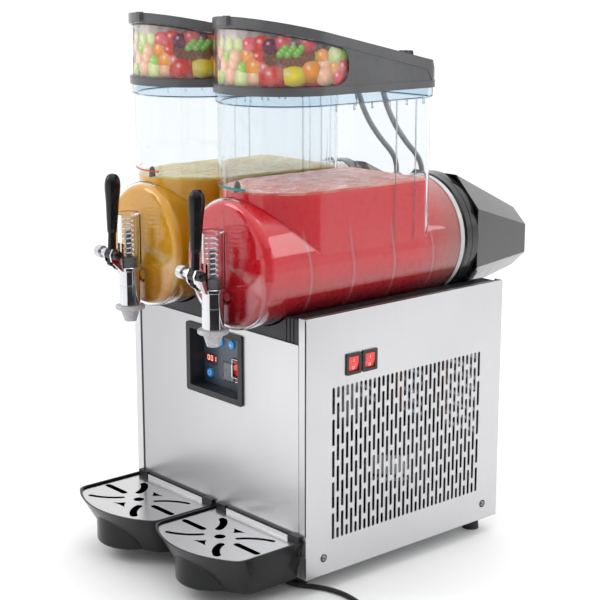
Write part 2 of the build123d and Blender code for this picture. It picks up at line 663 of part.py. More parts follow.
# ---------------------------------------------------------------- taps
def tap_body(side):
    """Chromed sleeve round the tap tube, with two ears for the lever's pivot pin."""
    x = BOWL_X[side]
    y = TAP_AXIS_Y
    sleeve = rod_z(TAP_SLEEVE_RADIUS, TAP_SLEEVE_BOTTOM_Z, TAP_TUBE_STEP_Z - 6, x, y)
    collar = rod_z(TAP_TUBE_RADIUS + 2.4, TAP_TUBE_STEP_Z - 6, TAP_TUBE_STEP_Z - 0.1, x, y)
    body = sleeve + chamfer(collar.edges().filter_by(GeomType.CIRCLE), 0.8)
    ear_shape = [(-90, 432), (-96, 431.5), (-114, 448), (-116, 458), (-112, 466), (-103, 467),
                 (-98, 460), (-95.5, 436.9), (-90, 436.9)]
    for x0 in (x - 9.6, x + 6.6):
        ear = side_profile(ear_shape, x0, x0 + 3)
        ear -= rod_x(PIN_RADIUS + 0.05, x0 - 1, x0 + 4, LEVER_PIVOT_Y, LEVER_PIVOT_Z)
        body += ear
    body -= rod_z(TAP_SLEEVE_RADIUS - 2.0, TAP_SLEEVE_BOTTOM_Z - 1, TAP_TUBE_STEP_Z + 40, x, y)
    body -= rod_y(TAP_DUCT_RADIUS + 3.1, y, DRUM_FRONT_Y, x, TAP_DUCT_Z)
    seam_z = 409.6
    seam = rod_z(TAP_SLEEVE_RADIUS + 1, seam_z - 0.5, seam_z + 0.5, x, y)
    return body - (seam - rod_z(TAP_SLEEVE_RADIUS - 0.6, seam_z - 1, seam_z + 1, x, y))


def nozzle(side):
    """White flanged spout that pushes on to the lower end of the sleeve."""
    x = BOWL_X[side]
    y = TAP_AXIS_Y
    top = TAP_SLEEVE_BOTTOM_Z - 0.05
    rim = rod_z(21.5, top - 6.5, top, x, y)
    rim = fillet(rim.edges().filter_by(GeomType.CIRCLE), 2.4)
    spout = cone_z(8.7, 14.5, top - 24, top - 6, x, y)
    return rim + spout - rod_z(6.6, top - 30, top + 5, x, y)


def piston(side):
    """Sliding valve plug with two ring grooves and the slot for the lever's finger."""
    x = BOWL_X[side]
    y = TAP_AXIS_Y
    plug = rod_z(PISTON_RADIUS, PISTON_BOTTOM_Z, PISTON_TOP_Z, x, y)
    for z in (PISTON_BOTTOM_Z + 5, PISTON_TOP_Z - 22):
        groove = rod_z(PISTON_RADIUS + 1, z - 1.2, z + 1.2, x, y)
        plug -= groove - rod_z(PISTON_RADIUS - 1.2, z - 3, z + 3, x, y)
    plug -= block(x - 4.6, x + 4.6, y - 20, y + 10, LEVER_FINGER_Z - 5.6, LEVER_FINGER_Z + 5)
    plug -= block(x - 4.6, x + 4.6, y - 20, y - 1.5, LEVER_FINGER_Z - 10, PISTON_TOP_Z + 1)
    guide = rod_z(4.0, PISTON_TOP_Z, PISTON_TOP_Z + 38, x, y)
    return plug + guide


def tap_spring(side):
    """Compression spring between the piston and the closed top of the tube."""
    wire = 1.1
    low = PISTON_TOP_Z + wire + 0.1
    high = TAP_TUBE_TOP_Z - 3 - wire - 0.1
    path = Helix(pitch=(high - low) / 8.5, height=high - low, radius=8.6)
    section = Plane(origin=path @ 0, x_dir=(1, 0, 0), z_dir=path % 0)
    coil = sweep(section * Circle(wire), path=path, is_frenet=True)
    return Pos(BOWL_X[side], TAP_AXIS_Y, low) * coil


def tap_lever(side):
    """Bulb-topped lever with its hub, finger and tail, and the clamped pivot pin."""
    x = BOWL_X[side]
    y, z = LEVER_PIVOT_Y, LEVER_PIVOT_Z
    grip_bottom = 489.0
    outline = Polyline((0, grip_bottom), (6.6, grip_bottom), (7.2, grip_bottom + 5), (9.4, grip_bottom + 42))
    bulb = [(9.4, grip_bottom + 42), (11.3, grip_bottom + 66), (8.4, grip_bottom + 80), (0, LEVER_TOP_Z)]
    belly = Spline(*bulb, tangents=((0.055, 1), (-1, 0)))
    axis_line = Line((0, LEVER_TOP_Z), (0, grip_bottom))
    grip_face = Plane.XZ * make_face(outline + belly + axis_line)
    grip = Pos(x, y, 0) * revolve(grip_face, axis=Axis.Z)
    stem = cone_z(6.1, 5.6, z, grip_bottom, x, y)
    lean = Pos(x, y, z) * Rot(-2.5, 0, 0) * Pos(-x, -y, -z)
    hub = rod_x(8.6, x - 6, x + 6, y, z)
    tip_y = TAP_AXIS_Y - 2
    tip_z = LEVER_FINGER_Z
    finger_shape = [(y - 2, z - 7), (y + 6, z - 1), (tip_y - 1, tip_z + 3.4), (tip_y - 2, tip_z - 3.6)]
    finger = side_profile(finger_shape, x - 3.3, x + 3.3)
    finger += rod_x(4.7, x - 3.3, x + 3.3, tip_y, tip_z)
    tail_shape = [(y - 4, z - 4), (y + 2, z - 6), (y, z - 15), (y - 4, z - 17), (y - 7, z - 14)]
    tail = side_profile(tail_shape, x - 3.3, x + 3.3)
    lever = lean * (grip + stem) + hub + finger + tail
    lever -= rod_x(PIN_RADIUS, x - 7, x + 7, y, z)
    pin = rod_x(PIN_RADIUS, x - 24, x + 14, y, z)
    nut = rod_x(9.0, x - 34, x - 22, y, z)
    nut = chamfer(nut.edges().filter_by(GeomType.CIRCLE), 1)
    for index in range(18):
        angle = math.radians(index * 20)
        nut -= rod_x(0.8, x - 40, x - 10, y + 9.2 * math.cos(angle), z + 9.2 * math.sin(angle))
    washer = rod_x(6.0, x - 22, x - 10.2, y, z)
    head = rod_x(7.0, x + 10.2, x + 19, y, z)
    head = fillet(head.edges().sort_by(Axis.X)[-1], 4)
    return group([lever, pin + nut + washer + head])


# ---------------------------------------------------------------- lids
LID_BACK_FACE_Y = TANK_BACK_Y + LID_PROUD


def lid_top_z(y):
    slope = (LID_TOP_BACK_Z - LID_TOP_FRONT_Z) / (LID_SLOPE_END_Y + 48)
    return LID_TOP_FRONT_Z + slope * (y + 48)


def lid_side_shape(drop, bottom_z):
    """Side view of the lid: sloping top that turns down at the back."""
    far = LID_BACK_FACE_Y + 3
    slope_end = LID_SLOPE_END_Y
    front = [(-70, bottom_z), (-70, lid_top_z(-70) - drop), (slope_end - drop, lid_top_z(slope_end) - drop)]
    turned_down = (far - 2.5 - drop, LID_TOP_BACK_Z - 26 - drop)
    return front + [turned_down, (far - drop, TANK_TOP_Z + 4), (far - drop, bottom_z)]


def lid_form(x, grow, drop, bottom_z):
    prism = tank_prism(x, LID_PROUD + grow, bottom_z, LID_TOP_FRONT_Z + 10)
    return prism & side_profile(lid_side_shape(drop, bottom_z), x - 120, x + 120)


def window_region(x):
    """Side view of the wrap-round window, with its round rear end, as a prism along X."""
    top = lid_top_z(WINDOW_END_Y) - WINDOW_BELOW_TOP
    front_top = lid_top_z(-70) - WINDOW_BELOW_TOP
    corners = [(-70, WINDOW_BOTTOM_Z), (WINDOW_END_Y, WINDOW_BOTTOM_Z), (WINDOW_END_Y, top), (-70, front_top)]
    face = make_face(Polyline(*corners, close=True))
    face = fillet(face.vertices().group_by(Axis.X)[-1], WINDOW_END_RADIUS)
    return Pos(x - 120, 0, 0) * extrude(Plane.YZ * face, amount=240)


def lid(side):
    """Light-box lid: sloping black cover with proud rims, open below, cut for its window."""
    x = BOWL_X[side]
    z0 = TANK_TOP_Z + 0.05
    cover = lid_form(x, 0, 0, z0)
    rim = tank_prism(x, LID_PROUD + 1, z0, z0 + LID_RIM_HEIGHT)
    cap = lid_form(x, 1, 0, z0) - lid_form(x, 3, WINDOW_BELOW_TOP - 2, z0 - 1)
    cap &= block(x - 120, x + 120, -70, LID_SLOPE_END_Y, z0, LID_TOP_FRONT_Z + 20)
    cover = cover + rim + cap
    cover -= lid_form(x, -LID_WALL, LID_WALL, z0 - 1) & block(x - 120, x + 120, -70, 300, z0 + 3, 900)
    cover -= tank_prism(x, LID_PROUD - 10, z0 - 1, z0 + 4)
    window_wall = tank_prism(x, LID_PROUD + 4, 700, 800) - tank_prism(x, LID_PROUD - 4, 690, 810)
    cover -= window_region(x) & window_wall
    cover += block(x - 4, x + 4, -53, -46, LID_TOP_FRONT_Z - 11.5, LID_TOP_FRONT_Z + 1)
    lead_x = math.copysign(CONDUIT_X, x)
    cover += rod_y(8, LID_BACK_FACE_Y - 18, CONDUIT_START_Y, lead_x, CONDUIT_START_Z)
    return cover


def lid_window(side):
    """Clear curved pane that follows the lid's nose."""
    x = BOWL_X[side]
    band = tank_prism(x, LID_PROUD - 0.3, 690, 800) - tank_prism(x, LID_PROUD - 2.3, 680, 810)
    return band & window_region(x)


CONDUIT_START_Y = 262.0
CONDUIT_START_Z = 708.0


def lamp_lead(side):
    """Corrugated conduit of the lid lamp, from the lid's back to the socket on the hood."""
    x = math.copysign(CONDUIT_X, BOWL_X[side])
    points = [
        (x, CONDUIT_START_Y + 0.1, CONDUIT_START_Z), (x, 282, CONDUIT_START_Z), (x, 299, 687), (x, 311, 656),
        (x, 330, 623), (x, 356, 593), (x, 379, 573), (x, CONDUIT_BOSS_Y, 553),
        (x, CONDUIT_BOSS_Y, CONDUIT_BOSS_TOP + 0.3)]
    return cord_tube(points, CONDUIT_RADIUS, "lamp lead " + side)


# ---------------------------------------------------------------- drip trays
def tray_outline(inset, front_y, corner_y):
    """Plan of a tray: straight back, straight sides, bowed front with rounded corners."""
    half = TRAY_WIDTH / 2 - inset
    back = -0.3 - inset
    edges = Polyline((-half, corner_y), (-half, back), (half, back), (half, corner_y))
    bow = ThreePointArc((half, corner_y), (0, front_y), (-half, corner_y))
    face = make_face(edges + bow)
    return fillet(face.vertices().group_by(Axis.Y)[0], 20)


def tray_loft(inset, top_z, bottom_z):
    """The tray's tapering form between two heights."""
    def level(z):
        depth = (TRAY_TOP_Z - z) / (TRAY_TOP_Z - TRAY_BOTTOM_Z)
        side = inset + 16 * depth
        front = -TRAY_REACH + inset + 20 * depth
        outline = tray_outline(side, front, front + 34 - 8 * depth)
        return Pos(0, side - inset, z) * outline
    return loft([level(bottom_z), level(top_z)], ruled=True)


def drip_tray(side):
    """Black tray with a bowed front, a round belly low in the middle and a ledge for the grate."""
    x = BOWL_X[side]
    belly_y = -80.0
    shell = tray_loft(0, TRAY_TOP_Z, TRAY_BOTTOM_Z)
    belly = rod_z(TRAY_BELLY_RADIUS, TRAY_BOTTOM_Z, TRAY_TOP_Z - 14, 0, belly_y)
    shell += fillet(belly.edges().group_by(Axis.Z)[0], 5)
    floor_z = TRAY_BOTTOM_Z + TRAY_WALL
    ledge_z = TRAY_TOP_Z - 4.5
    well = tray_loft(7, ledge_z, floor_z)
    well += rod_z(TRAY_BELLY_RADIUS - TRAY_WALL, floor_z, TRAY_TOP_Z - 20, 0, belly_y)
    recess = extrude(Pos(0, 0, ledge_z) * tray_outline(3, -TRAY_REACH + 3, -TRAY_REACH + 37), amount=20)
    shell = shell - well - recess
    shell += block(-TRAY_WIDTH / 2 + 14, TRAY_WIDTH / 2 - 14, -3.3, -0.3, TRAY_TOP_Z - 6, TRAY_TOP_Z + 6)
    for tab_x in TAB_OFFSETS:
        shell -= block(tab_x - 11.6, tab_x + 11.6, -6.6, 1, TAB_BOTTOM_Z - 0.6, TRAY_TOP_Z + 20)
    return Pos(x, 0, 0) * shell


TAB_OFFSETS = (-82.0, 82.0)
TAB_BOTTOM_Z = 58.0


def tray_brackets():
    """Black hooks on the front panel that carry the trays' rear edges."""
    tabs = []
    for x in BOWL_X.values():
        for offset in TAB_OFFSETS:
            tab_x = x + offset
            tab = block(tab_x - 11, tab_x + 11, -5.8, -0.05, TAB_BOTTOM_Z, TRAY_TOP_Z + 6)
            tabs.append(fillet(tab.edges().filter_by(Axis.Y), 1.2))
    return group(tabs)


def star_slot():
    """Small three-pointed opening with hollow sides."""
    tips = [(-16, -37), (13, -35), (-2, -22)]
    hollows = [(-1.5, -35), (4.4, -29.4), (-7.8, -30.2)]
    arcs = [ThreePointArc(tips[i], hollows[i], tips[(i + 1) % 3]) for i in range(3)]
    return make_face(arcs[0] + arcs[1] + arcs[2])


def grate_slots():
    """Drain openings in one half of the grate: the other half is the same, turned by 180 degrees."""
    crescent = SlotArc(ThreePointArc((24, -17), (34, -33), (50, -44)), 11)
    thin = SlotArc(ThreePointArc((23, 14), (39, 32), (62, 45)), 7.6)
    straight = Pos(60, 0) * SlotOverall(52, 10.0)
    return [crescent, thin, straight, star_slot()]


def drip_grate(side):
    """Pressed steel grate that drops into the tray, with an upturned rear edge."""
    outline = tray_outline(3.6, -TRAY_REACH + 3.6, -TRAY_REACH + 37)
    middle = Pos(0, GRATE_MIDDLE_Y)
    openings = [middle * Circle(8)]
    for shape in grate_slots():
        openings.append(middle * shape)
        openings.append(middle * Rot(0, 0, 180) * shape)
    for tab_x in TAB_OFFSETS:
        openings.append(Pos(tab_x, 0) * Rectangle(23.2, 13.2))
    sheet = extrude(outline - openings, amount=GRATE_SHEET)
    edge_y = -3.9
    edge_x = TAB_OFFSETS[1] - 13
    sheet += block(-edge_x, edge_x, edge_y - GRATE_SHEET, edge_y, 0, GRATE_EDGE_HEIGHT)
    return Pos(BOWL_X[side], 0, TRAY_TOP_Z - 4.45) * sheet


GRATE_MIDDLE_Y = -71.0
GRATE_SHEET = 1.6
GRATE_EDGE_HEIGHT = 7.4


# ---------------------------------------------------------------- fasteners and cord
def screw_head():
    """Domed screw with a cross slot, axis +Z, its seat at Z = 0, shank below."""
    head = cone_z(4.6, 3.0, 0, 2.2, 0, 0)
    head = fillet(head.edges().group_by(Axis.Z)[-1], 0.8)
    cross = block(-2.4, 2.4, -0.45, 0.45, 1.1, 3) + block(-0.45, 0.45, -2.4, 2.4, 1.1, 3)
    return head + rod_z(2.0, -7, 0, 0, 0) - cross


def panel_screws():
    """Screws of the side panels."""
    pieces = []
    for y, z in side_screw_places():
        pieces.append(Pos(HALF_WIDTH, y, z) * Rot(0, 90, 0) * screw_head())
        pieces.append(Pos(-HALF_WIDTH, y, z) * Rot(0, -90, 0) * screw_head())
    return group(pieces)


GLAND_X, GLAND_Z = -40.0, 62.0
GLAND_TIP_Y = 424.0

# The power cord's route: out of the back, down to the worktop, round and forward under
# the cabinet, out at its front right corner and on to the coil.
CORD_POINTS = [
    (-40, 424.1, 62), (-40, 446, 62), (-38, 469, 54), (-31, 491, 37), (-16, 511, 18), (8, 523, 5),
    (34, 524, 3.5), (58, 509, 3.5), (73, 479, 3.5), (76, 437, 3.5), (69, 388, 3.5), (70, 336, 3.5),
    (81, 284, 3.5), (85, 231, 3.5), (80, 180, 3.5), (84, 131, 3.5), (92, 90, 3.5), (100, 56, 3.5),
    (108, 33, 3.5), (124, 17, 3.5), (146, 11, 3.5), (167, 16, 3.5), (186, 31, 3.5), (210, 41, 3.5),
    (238, 44, 3.5), (267, 39, 3.5), (294, 31.2, 3.5)]
COIL_CENTRE = (300.0, -8.0)
PLUG_START_X = 279.0


def cord_tube(points, radius, label):
    """A tube along straight runs joined by tangent arcs as large as the runs allow."""
    corners = [Vector(*point) for point in points]
    radii = []
    for before, corner, after in zip(corners, corners[1:], corners[2:]):
        turn = (corner - before).get_angle(after - corner)
        shorter = min((corner - before).length, (after - corner).length)
        radii.append(0.45 * shorter / math.tan(math.radians(turn) / 2))
    path = FilletPolyline(*corners, radius=radii)
    tube = sweep(Plane(origin=path @ 0, z_dir=path % 0) * Circle(radius), path=path)
    section = math.pi * radius ** 2
    print(label, "length", round(path.length, 1), "volume over section x length",
          round(tube.volume / (section * path.length), 4), "radii", [round(r) for r in radii])
    return tube


def cable_gland():
    """Flanged gland in the back panel with a tapered strain relief."""
    y1 = CABINET_DEPTH
    flange = rod_y(12, y1 + 0.05, y1 + 5, GLAND_X, GLAND_Z)
    barrel = rod_y(8, y1 - 12, y1 + 1, GLAND_X, GLAND_Z)
    nut = rod_y(11, y1 - 6, y1 - SHEET - 0.05, GLAND_X, GLAND_Z)
    relief_length = GLAND_TIP_Y - y1 - 5
    relief = Rot(-90, 0, 0) * Cone(7.5, 4.6, relief_length)
    relief = Pos(GLAND_X, GLAND_TIP_Y - relief_length / 2, GLAND_Z) * relief
    return flange + barrel + nut + relief


def power_cord():
    return cord_tube(CORD_POINTS, CORD_DIAMETER / 2, "power cord")


def cord_coil():
    """Outer shape of the put-away turns."""
    middle = COIL_MIDDLE_DIAMETER / 2
    half = COIL_TURNS_WIDE * CORD_DIAMETER / 2 + 0.5
    ring = rod_z(middle + half, 0, COIL_HEIGHT, *COIL_CENTRE)
    ring -= rod_z(middle - half, -1, COIL_HEIGHT + 1, *COIL_CENTRE)
    return fillet(ring.edges().filter_by(GeomType.CIRCLE), 3)


def power_plug():
    """Moulded three-pin plug lying beside the coil."""
    y = COIL_CENTRE[1] - COIL_MIDDLE_DIAMETER / 2
    x0 = PLUG_START_X
    relief = Pos(x0 - 9, y, 9) * Rot(0, -90, 0) * Cone(4.6, 7.5, 18)
    body = rounded_block(x0 - 44, x0 - 17.5, y - 12, y + 12, 0, 20, 5, Axis.X)
    blades = [block(x0 - 60, x0 - 44, y + s * 6 - 0.8, y + s * 6 + 0.8, 8, 14) for s in (-1, 1)]
    earth = rod_x(2.4, x0 - 63, x0 - 44, y, 4.8)
    return relief + body + blades + earth


# ---------------------------------------------------------------- assembly
def build_nodes():
    """Every piece by node name, in cabinet coordinates."""
    nodes = {
        "base_pan": base_pan(),
        "feet": feet(),
        "front_panel": front_panel(),
        "side_panel_left": side_panel("left"),
        "side_panel_right": side_panel("right"),
        "back_panel": back_panel(),
        "top_deck": top_deck(),
        "control_bezel": control_bezel(),
        "control_face": control_face(),
        "switch_housings": switch_housings(),
        "switch_boot": switch_boot(),
        "main_rocker": main_switch_place() * rocker(ROCKER_TILT),
        "side_rocker_front": side_switch_place(SWITCH_CENTRES_Y[0]) * rocker(ROCKER_TILT),
        "side_rocker_rear": side_switch_place(SWITCH_CENTRES_Y[1]) * rocker(ROCKER_TILT),
        "compressor": compressor(),
        "condenser": condenser(),
        "fan_motor": fan_motor(),
        "fan_blade": fan_blade(),
        "refrigerant_lines": refrigerant_lines(),
        "electrical_box": electrical_box(),
        "evaporators": evaporators(),
        "bowl_seals": bowl_seals(),
        "housing_collars": housing_collars(),
        "rear_housings": rear_housings(),
        "gear_motors": gear_motors(),
        "tray_brackets": tray_brackets(),
        "panel_screws": panel_screws(),
        "cable_gland": cable_gland(),
        "power_cord": power_cord(),
        "cord_coil": cord_coil(),
        "power_plug": power_plug(),
    }
    for name in CONTROL_X:
        nodes["key_" + name] = key_button(name)
    makers = {
        "bowl": bowl, "slush": slush, "auger": auger, "tap_body": tap_body, "nozzle": nozzle,
        "piston": piston, "tap_spring": tap_spring, "tap_lever": tap_lever, "lid": lid,
        "lid_window": lid_window, "lamp_lead": lamp_lead, "drip_tray": drip_tray, "drip_grate": drip_grate,
    }
    for name, maker in makers.items():
        for side in SIDES:
            nodes[name + "_" + side] = maker(side)
    return nodes


CORD_NODES = ("power_cord", "cord_coil", "power_plug")


def place_on_origin(nodes):
    """Moves every piece so that the machine without its cord stands centred on the origin."""
    boxes = [shape.bounding_box() for name, shape in nodes.items() if name not in CORD_NODES]
    low_x = min(box.min.X for box in boxes)
    high_x = max(box.max.X for box in boxes)
    low_y = min(box.min.Y for box in boxes)
    high_y = max(box.max.Y for box in boxes)
    shift = Pos(-(low_x + high_x) / 2, -(low_y + high_y) / 2, 0)
    print("origin in cabinet coordinates", round((low_x + high_x) / 2, 3), round((low_y + high_y) / 2, 3))
    return {name: shift * shape for name, shape in nodes.items()}


def main():
    os.makedirs("parts", exist_ok=True)
    for name, shape in place_on_origin(build_nodes()).items():
        export_step(shape, os.path.join("parts", name + ".step"))


main()
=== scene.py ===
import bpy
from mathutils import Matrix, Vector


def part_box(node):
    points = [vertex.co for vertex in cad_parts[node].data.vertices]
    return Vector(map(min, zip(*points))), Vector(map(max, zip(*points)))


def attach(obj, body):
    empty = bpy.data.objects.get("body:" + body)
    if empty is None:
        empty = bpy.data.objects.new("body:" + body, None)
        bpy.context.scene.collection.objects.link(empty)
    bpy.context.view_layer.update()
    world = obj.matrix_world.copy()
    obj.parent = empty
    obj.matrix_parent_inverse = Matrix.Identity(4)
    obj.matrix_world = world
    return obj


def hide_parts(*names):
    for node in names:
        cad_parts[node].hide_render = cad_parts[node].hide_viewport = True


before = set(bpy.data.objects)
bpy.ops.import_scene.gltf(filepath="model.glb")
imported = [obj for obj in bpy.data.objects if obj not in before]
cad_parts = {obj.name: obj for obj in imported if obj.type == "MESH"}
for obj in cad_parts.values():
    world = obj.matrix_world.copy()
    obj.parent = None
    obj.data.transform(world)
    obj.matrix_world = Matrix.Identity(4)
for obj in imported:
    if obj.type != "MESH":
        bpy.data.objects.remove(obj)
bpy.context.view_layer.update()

import math
import random

import bmesh
import bpy
from mathutils import Matrix, Vector, noise

# Twin-bowl slush machine: looks, fine detail, cords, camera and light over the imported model.
# Places are written in millimetres from the front panel's middle, at worktop height, with
# +X to the switches and +Y to the back; spot() turns them into the frame's metres. Numbers in
# the materials are in metres, as their place is.

MM = 0.001
FRONT_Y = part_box("front_panel")[0].y
SIDES = ("left", "right")
HALF_WIDTH = 200.0
REAR_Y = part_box("back_panel")[1].y / MM - FRONT_Y / MM
# The tank's plan: half its width, the centre of its nose, its back and its back corners' radius.
TANK_HALF, NOSE_Y, TANK_BACK, TANK_CORNER = 90.0, 48.0, 253.0, 18.0
TANK_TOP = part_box("bowl_right")[1].z / MM
SLUSH_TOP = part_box("slush_right")[1].z / MM
DRUM_Z = 465.0
AUGER_PITCH = 0.078


def middle_x(node):
    low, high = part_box(node)
    return (low.x + high.x) / 2 / MM


BOWL_X = {side: middle_x("nozzle_" + side) for side in SIDES}


def spot(x, y, z):
    """A point of the frame, in metres, from millimetres off the front panel's middle."""
    return Vector((x * MM, FRONT_Y + y * MM, z * MM))


# ---- materials
def add_node(tree, kind, settings=None, **inputs):
    """Adds a shader node; inputs are named by socket, or i0, i1 and so on by number."""
    made = tree.nodes.new("ShaderNode" + kind)
    for key, value in (settings or {}).items():
        setattr(made, key, value)
    for key, value in inputs.items():
        socket = made.inputs[int(key[1:])] if key[1:].isdigit() else made.inputs[key.replace("_", " ")]
        if isinstance(value, bpy.types.NodeSocket):
            tree.links.new(value, socket)
        else:
            socket.default_value = value
    return made


def toned(colour, gain, plus=0.0):
    """A lighter or darker version of a colour."""
    return tuple(min(1, c * gain + plus) for c in colour)


class Look:
    """A Principled material and the procedural nodes that feed it."""

    def __init__(self, name, colour, roughness, metallic=0.0, **sockets):
        self.material = bpy.data.materials.new(name)
        self.material.use_nodes = True
        self.tree = self.material.node_tree
        self.shader = self.tree.nodes["Principled BSDF"]
        self.base = (*colour, 1.0)
        self.normal = None
        self.place = self.node("TexCoord").outputs["Object"]
        self.shader.inputs["Base Color"].default_value = self.base
        self.shader.inputs["Roughness"].default_value = roughness
        self.shader.inputs["Metallic"].default_value = metallic
        for socket, value in sockets.items():
            self.shader.inputs[socket.replace("_", " ")].default_value = value

    def node(self, kind, settings=None, **inputs):
        return add_node(self.tree, kind, settings, **inputs)

    def noise(self, scale, detail=3.0, stretch=(1, 1, 1), shift=0.0):
        moved = self.node("Mapping", Vector=self.place, Scale=stretch, Location=(shift, shift, shift))
        return self.node("TexNoise", Vector=moved.outputs[0], Scale=scale, Detail=detail).outputs[0]

    def cells(self, scale):
        return self.node("TexVoronoi", Vector=self.place, Scale=scale)

    def span(self, value, low, high, out_low=0.0, out_high=1.0):
        """The value, taken from low-high to out_low-out_high and held there."""
        return self.node("MapRange", Value=value, From_Min=low, From_Max=high, To_Min=out_low,
                         To_Max=out_high).outputs[0]

    def calc(self, operation, *values):
        inputs = {"i%d" % index: value for index, value in enumerate(values)}
        return self.node("Math", {"operation": operation}, **inputs).outputs[0]

    def times(self, a, b):
        return self.node("Math", {"operation": "MULTIPLY", "use_clamp": True}, i0=a, i1=b).outputs[0]

    def along(self, axis):
        """The place along one axis of the frame, in metres."""
        return self.node("SeparateXYZ", Vector=self.place).outputs["XYZ".index(axis)]

    def facing_up(self):
        normal = self.node("NewGeometry").outputs["Normal"]
        return self.span(self.node("SeparateXYZ", Vector=normal).outputs[2], 0.6, 0.95)

    def tint(self, amount, colour):
        """Mixes a colour over the base by an amount from 0 to 1."""
        mix = self.node("Mix", {"data_type": "RGBA"}, i0=amount, i6=self.base, i7=(*colour, 1.0))
        self.base = mix.outputs[2]
        self.tree.links.new(self.base, self.shader.inputs["Base Color"])
        return self

    def blend(self, value, low, high, amount, colour):
        """Brings in a second colour as the value passes from low to high."""
        return self.tint(self.span(value, low, high, 0, amount), colour)

    def mottle(self, scale, detail, low, high, amount, colour, stretch=(1, 1, 1), shift=0.0):
        """Patches of a second colour, from a noise."""
        return self.blend(self.noise(scale, detail, stretch, shift), low, high, amount, colour)

    def flecks(self, scale, low, high, amount, colour):
        """Specks of a second colour, one to each random cell."""
        return self.blend(self.cells(scale).outputs["Distance"], low, high, amount, colour)

    def dust(self, scale, low, high, shift, amount, colour):
        """Dust in patches, on faces that look up."""
        patches = self.span(self.noise(scale, 5, shift=shift), low, high)
        return self.tint(self.times(self.times(self.facing_up(), patches), amount), colour)

    def roughen(self, value, low, high):
        self.tree.links.new(self.span(value, 0.3, 0.7, low, high), self.shader.inputs["Roughness"])
        return self

    def metal_where(self, mask):
        self.tree.links.new(mask, self.shader.inputs["Metallic"])
        return self

    def link_normal(self, socket):
        self.normal = socket
        self.tree.links.new(socket, self.shader.inputs["Normal"])
        return self

    def soften(self, radius):
        """Edges catch the light as if they were rounded."""
        return self.link_normal(self.node("Bevel", {"samples": 4}, Radius=radius).outputs[0])

    def rise(self, height, distance, strength=1.0):
        bump = self.node("Bump", Height=height, Distance=distance, Strength=strength)
        if self.normal is not None:
            self.tree.links.new(self.normal, bump.inputs["Normal"])
        return self.link_normal(bump.outputs[0])

    def surface(self, gloss, roughness, fold, grain, height):
        """Uneven gloss, softened edges and a fine relief."""
        self.roughen(gloss, *roughness)
        return self.soften(fold).rise(grain, height)

    def wear(self, radius, colour, amount):
        """Rubbed edges: where a rounded normal leaves the true one, in patches."""
        rounded = self.node("Bevel", {"samples": 4}, Radius=radius).outputs[0]
        flat = self.node("NewGeometry").outputs["True Normal"]
        turned = self.node("VectorMath", {"operation": "DOT_PRODUCT"}, i0=rounded, i1=flat).outputs["Value"]
        edge = self.span(turned, 0.97, 0.8)
        patches = self.span(self.noise(55, 4, shift=3.1), 0.42, 0.66)
        return self.tint(self.times(self.times(edge, patches), amount), colour)

    def see_through(self, colour):
        """Lets lamps through the clear plastic, so that what is inside is lit."""
        clear = self.node("BsdfTransparent", Color=(*colour, 1.0))
        shadow = self.node("LightPath").outputs["Is Shadow Ray"]
        mix = self.node("MixShader", i0=shadow, i1=self.shader.outputs[0], i2=clear.outputs[0])
        output = next(n for n in self.tree.nodes if n.type == "OUTPUT_MATERIAL")
        self.tree.links.new(mix.outputs[0], output.inputs["Surface"])
        return self


def steel(name, colour=(0.62, 0.62, 0.635), brush=(420, 420, 9), roughness=(0.285, 0.37), fold=0.0008,
          shade=0.0):
    """Satin stainless sheet: fine brushing, soft clouds, a few hairline scratches; shade is how
    much painted shade darkens the sheet's left part."""
    look = Look(name, colour, roughness[0], 1.0, Anisotropic=0.35)
    grain = look.noise(1.0, 4, brush)
    look.mottle(4.5, 3, 0.35, 0.7, 0.25, toned(colour, 0.9), shift=1.0)
    look.blend(grain, 0.3, 0.7, 0.05, (0.85, 0.85, 0.86))
    # painted shade: the sheet turns darker towards its left, by the shade amount
    look.tint(look.span(look.along("X"), -0.17, 0.14, shade, 0.0), toned(colour, 0.6))
    look.mottle(1.0, 2, 0.74, 0.78, 0.10, (0.5, 0.5, 0.52), (420, 420, 30), 7.0)
    look.surface(look.noise(6, 3, shift=2.0), roughness, fold, grain, 0.000006)
    return look.wear(0.0008, (0.9, 0.9, 0.91), 0.25).material


def plastic(name, colour, roughness=(0.3, 0.45), grain=1500, height=0.00003, edge=0.0006, **sockets):
    """Moulded plastic: fine grain, slight tone changes, settled dust and rubbed edges."""
    look = Look(name, colour, roughness[0], **sockets)
    look.mottle(14, 4, 0.35, 0.7, 0.8, toned(colour, 1.18, 0.006))
    look.mottle(95, 5, 0.5, 0.8, 0.35, toned(colour, 0.75), shift=4.0)
    look.dust(38, 0.35, 0.8, 9.0, 0.03, (0.45, 0.44, 0.42))
    look.surface(look.noise(60, 4, shift=5.0), roughness, edge, look.noise(grain, 2), height)
    return look.wear(0.0010, toned(colour, 1.0, 0.05), 0.4).material


def clear_plastic(name, colour=(0.925, 0.95, 0.968), roughness=(0.004, 0.03), ior=1.42, rim_z=None):
    """Clear moulded polycarbonate with flow ripples, fine wipe marks and a bluer thick rim."""
    look = Look(name, colour, roughness[0], Transmission_Weight=1.0, IOR=ior)
    if rim_z is not None:
        look.blend(look.along("Z"), rim_z - 0.001, rim_z, 0.8, (0.60, 0.74, 0.84))
    wipes = look.noise(1.0, 3, (55, 55, 16), 2.0)
    look.roughen(wipes, *roughness)
    look.rise(look.noise(9, 2, (1, 1, 0.35)), 0.0004, 0.5)
    look.rise(wipes, 0.00001, 0.4)
    return look.see_through(colour).material


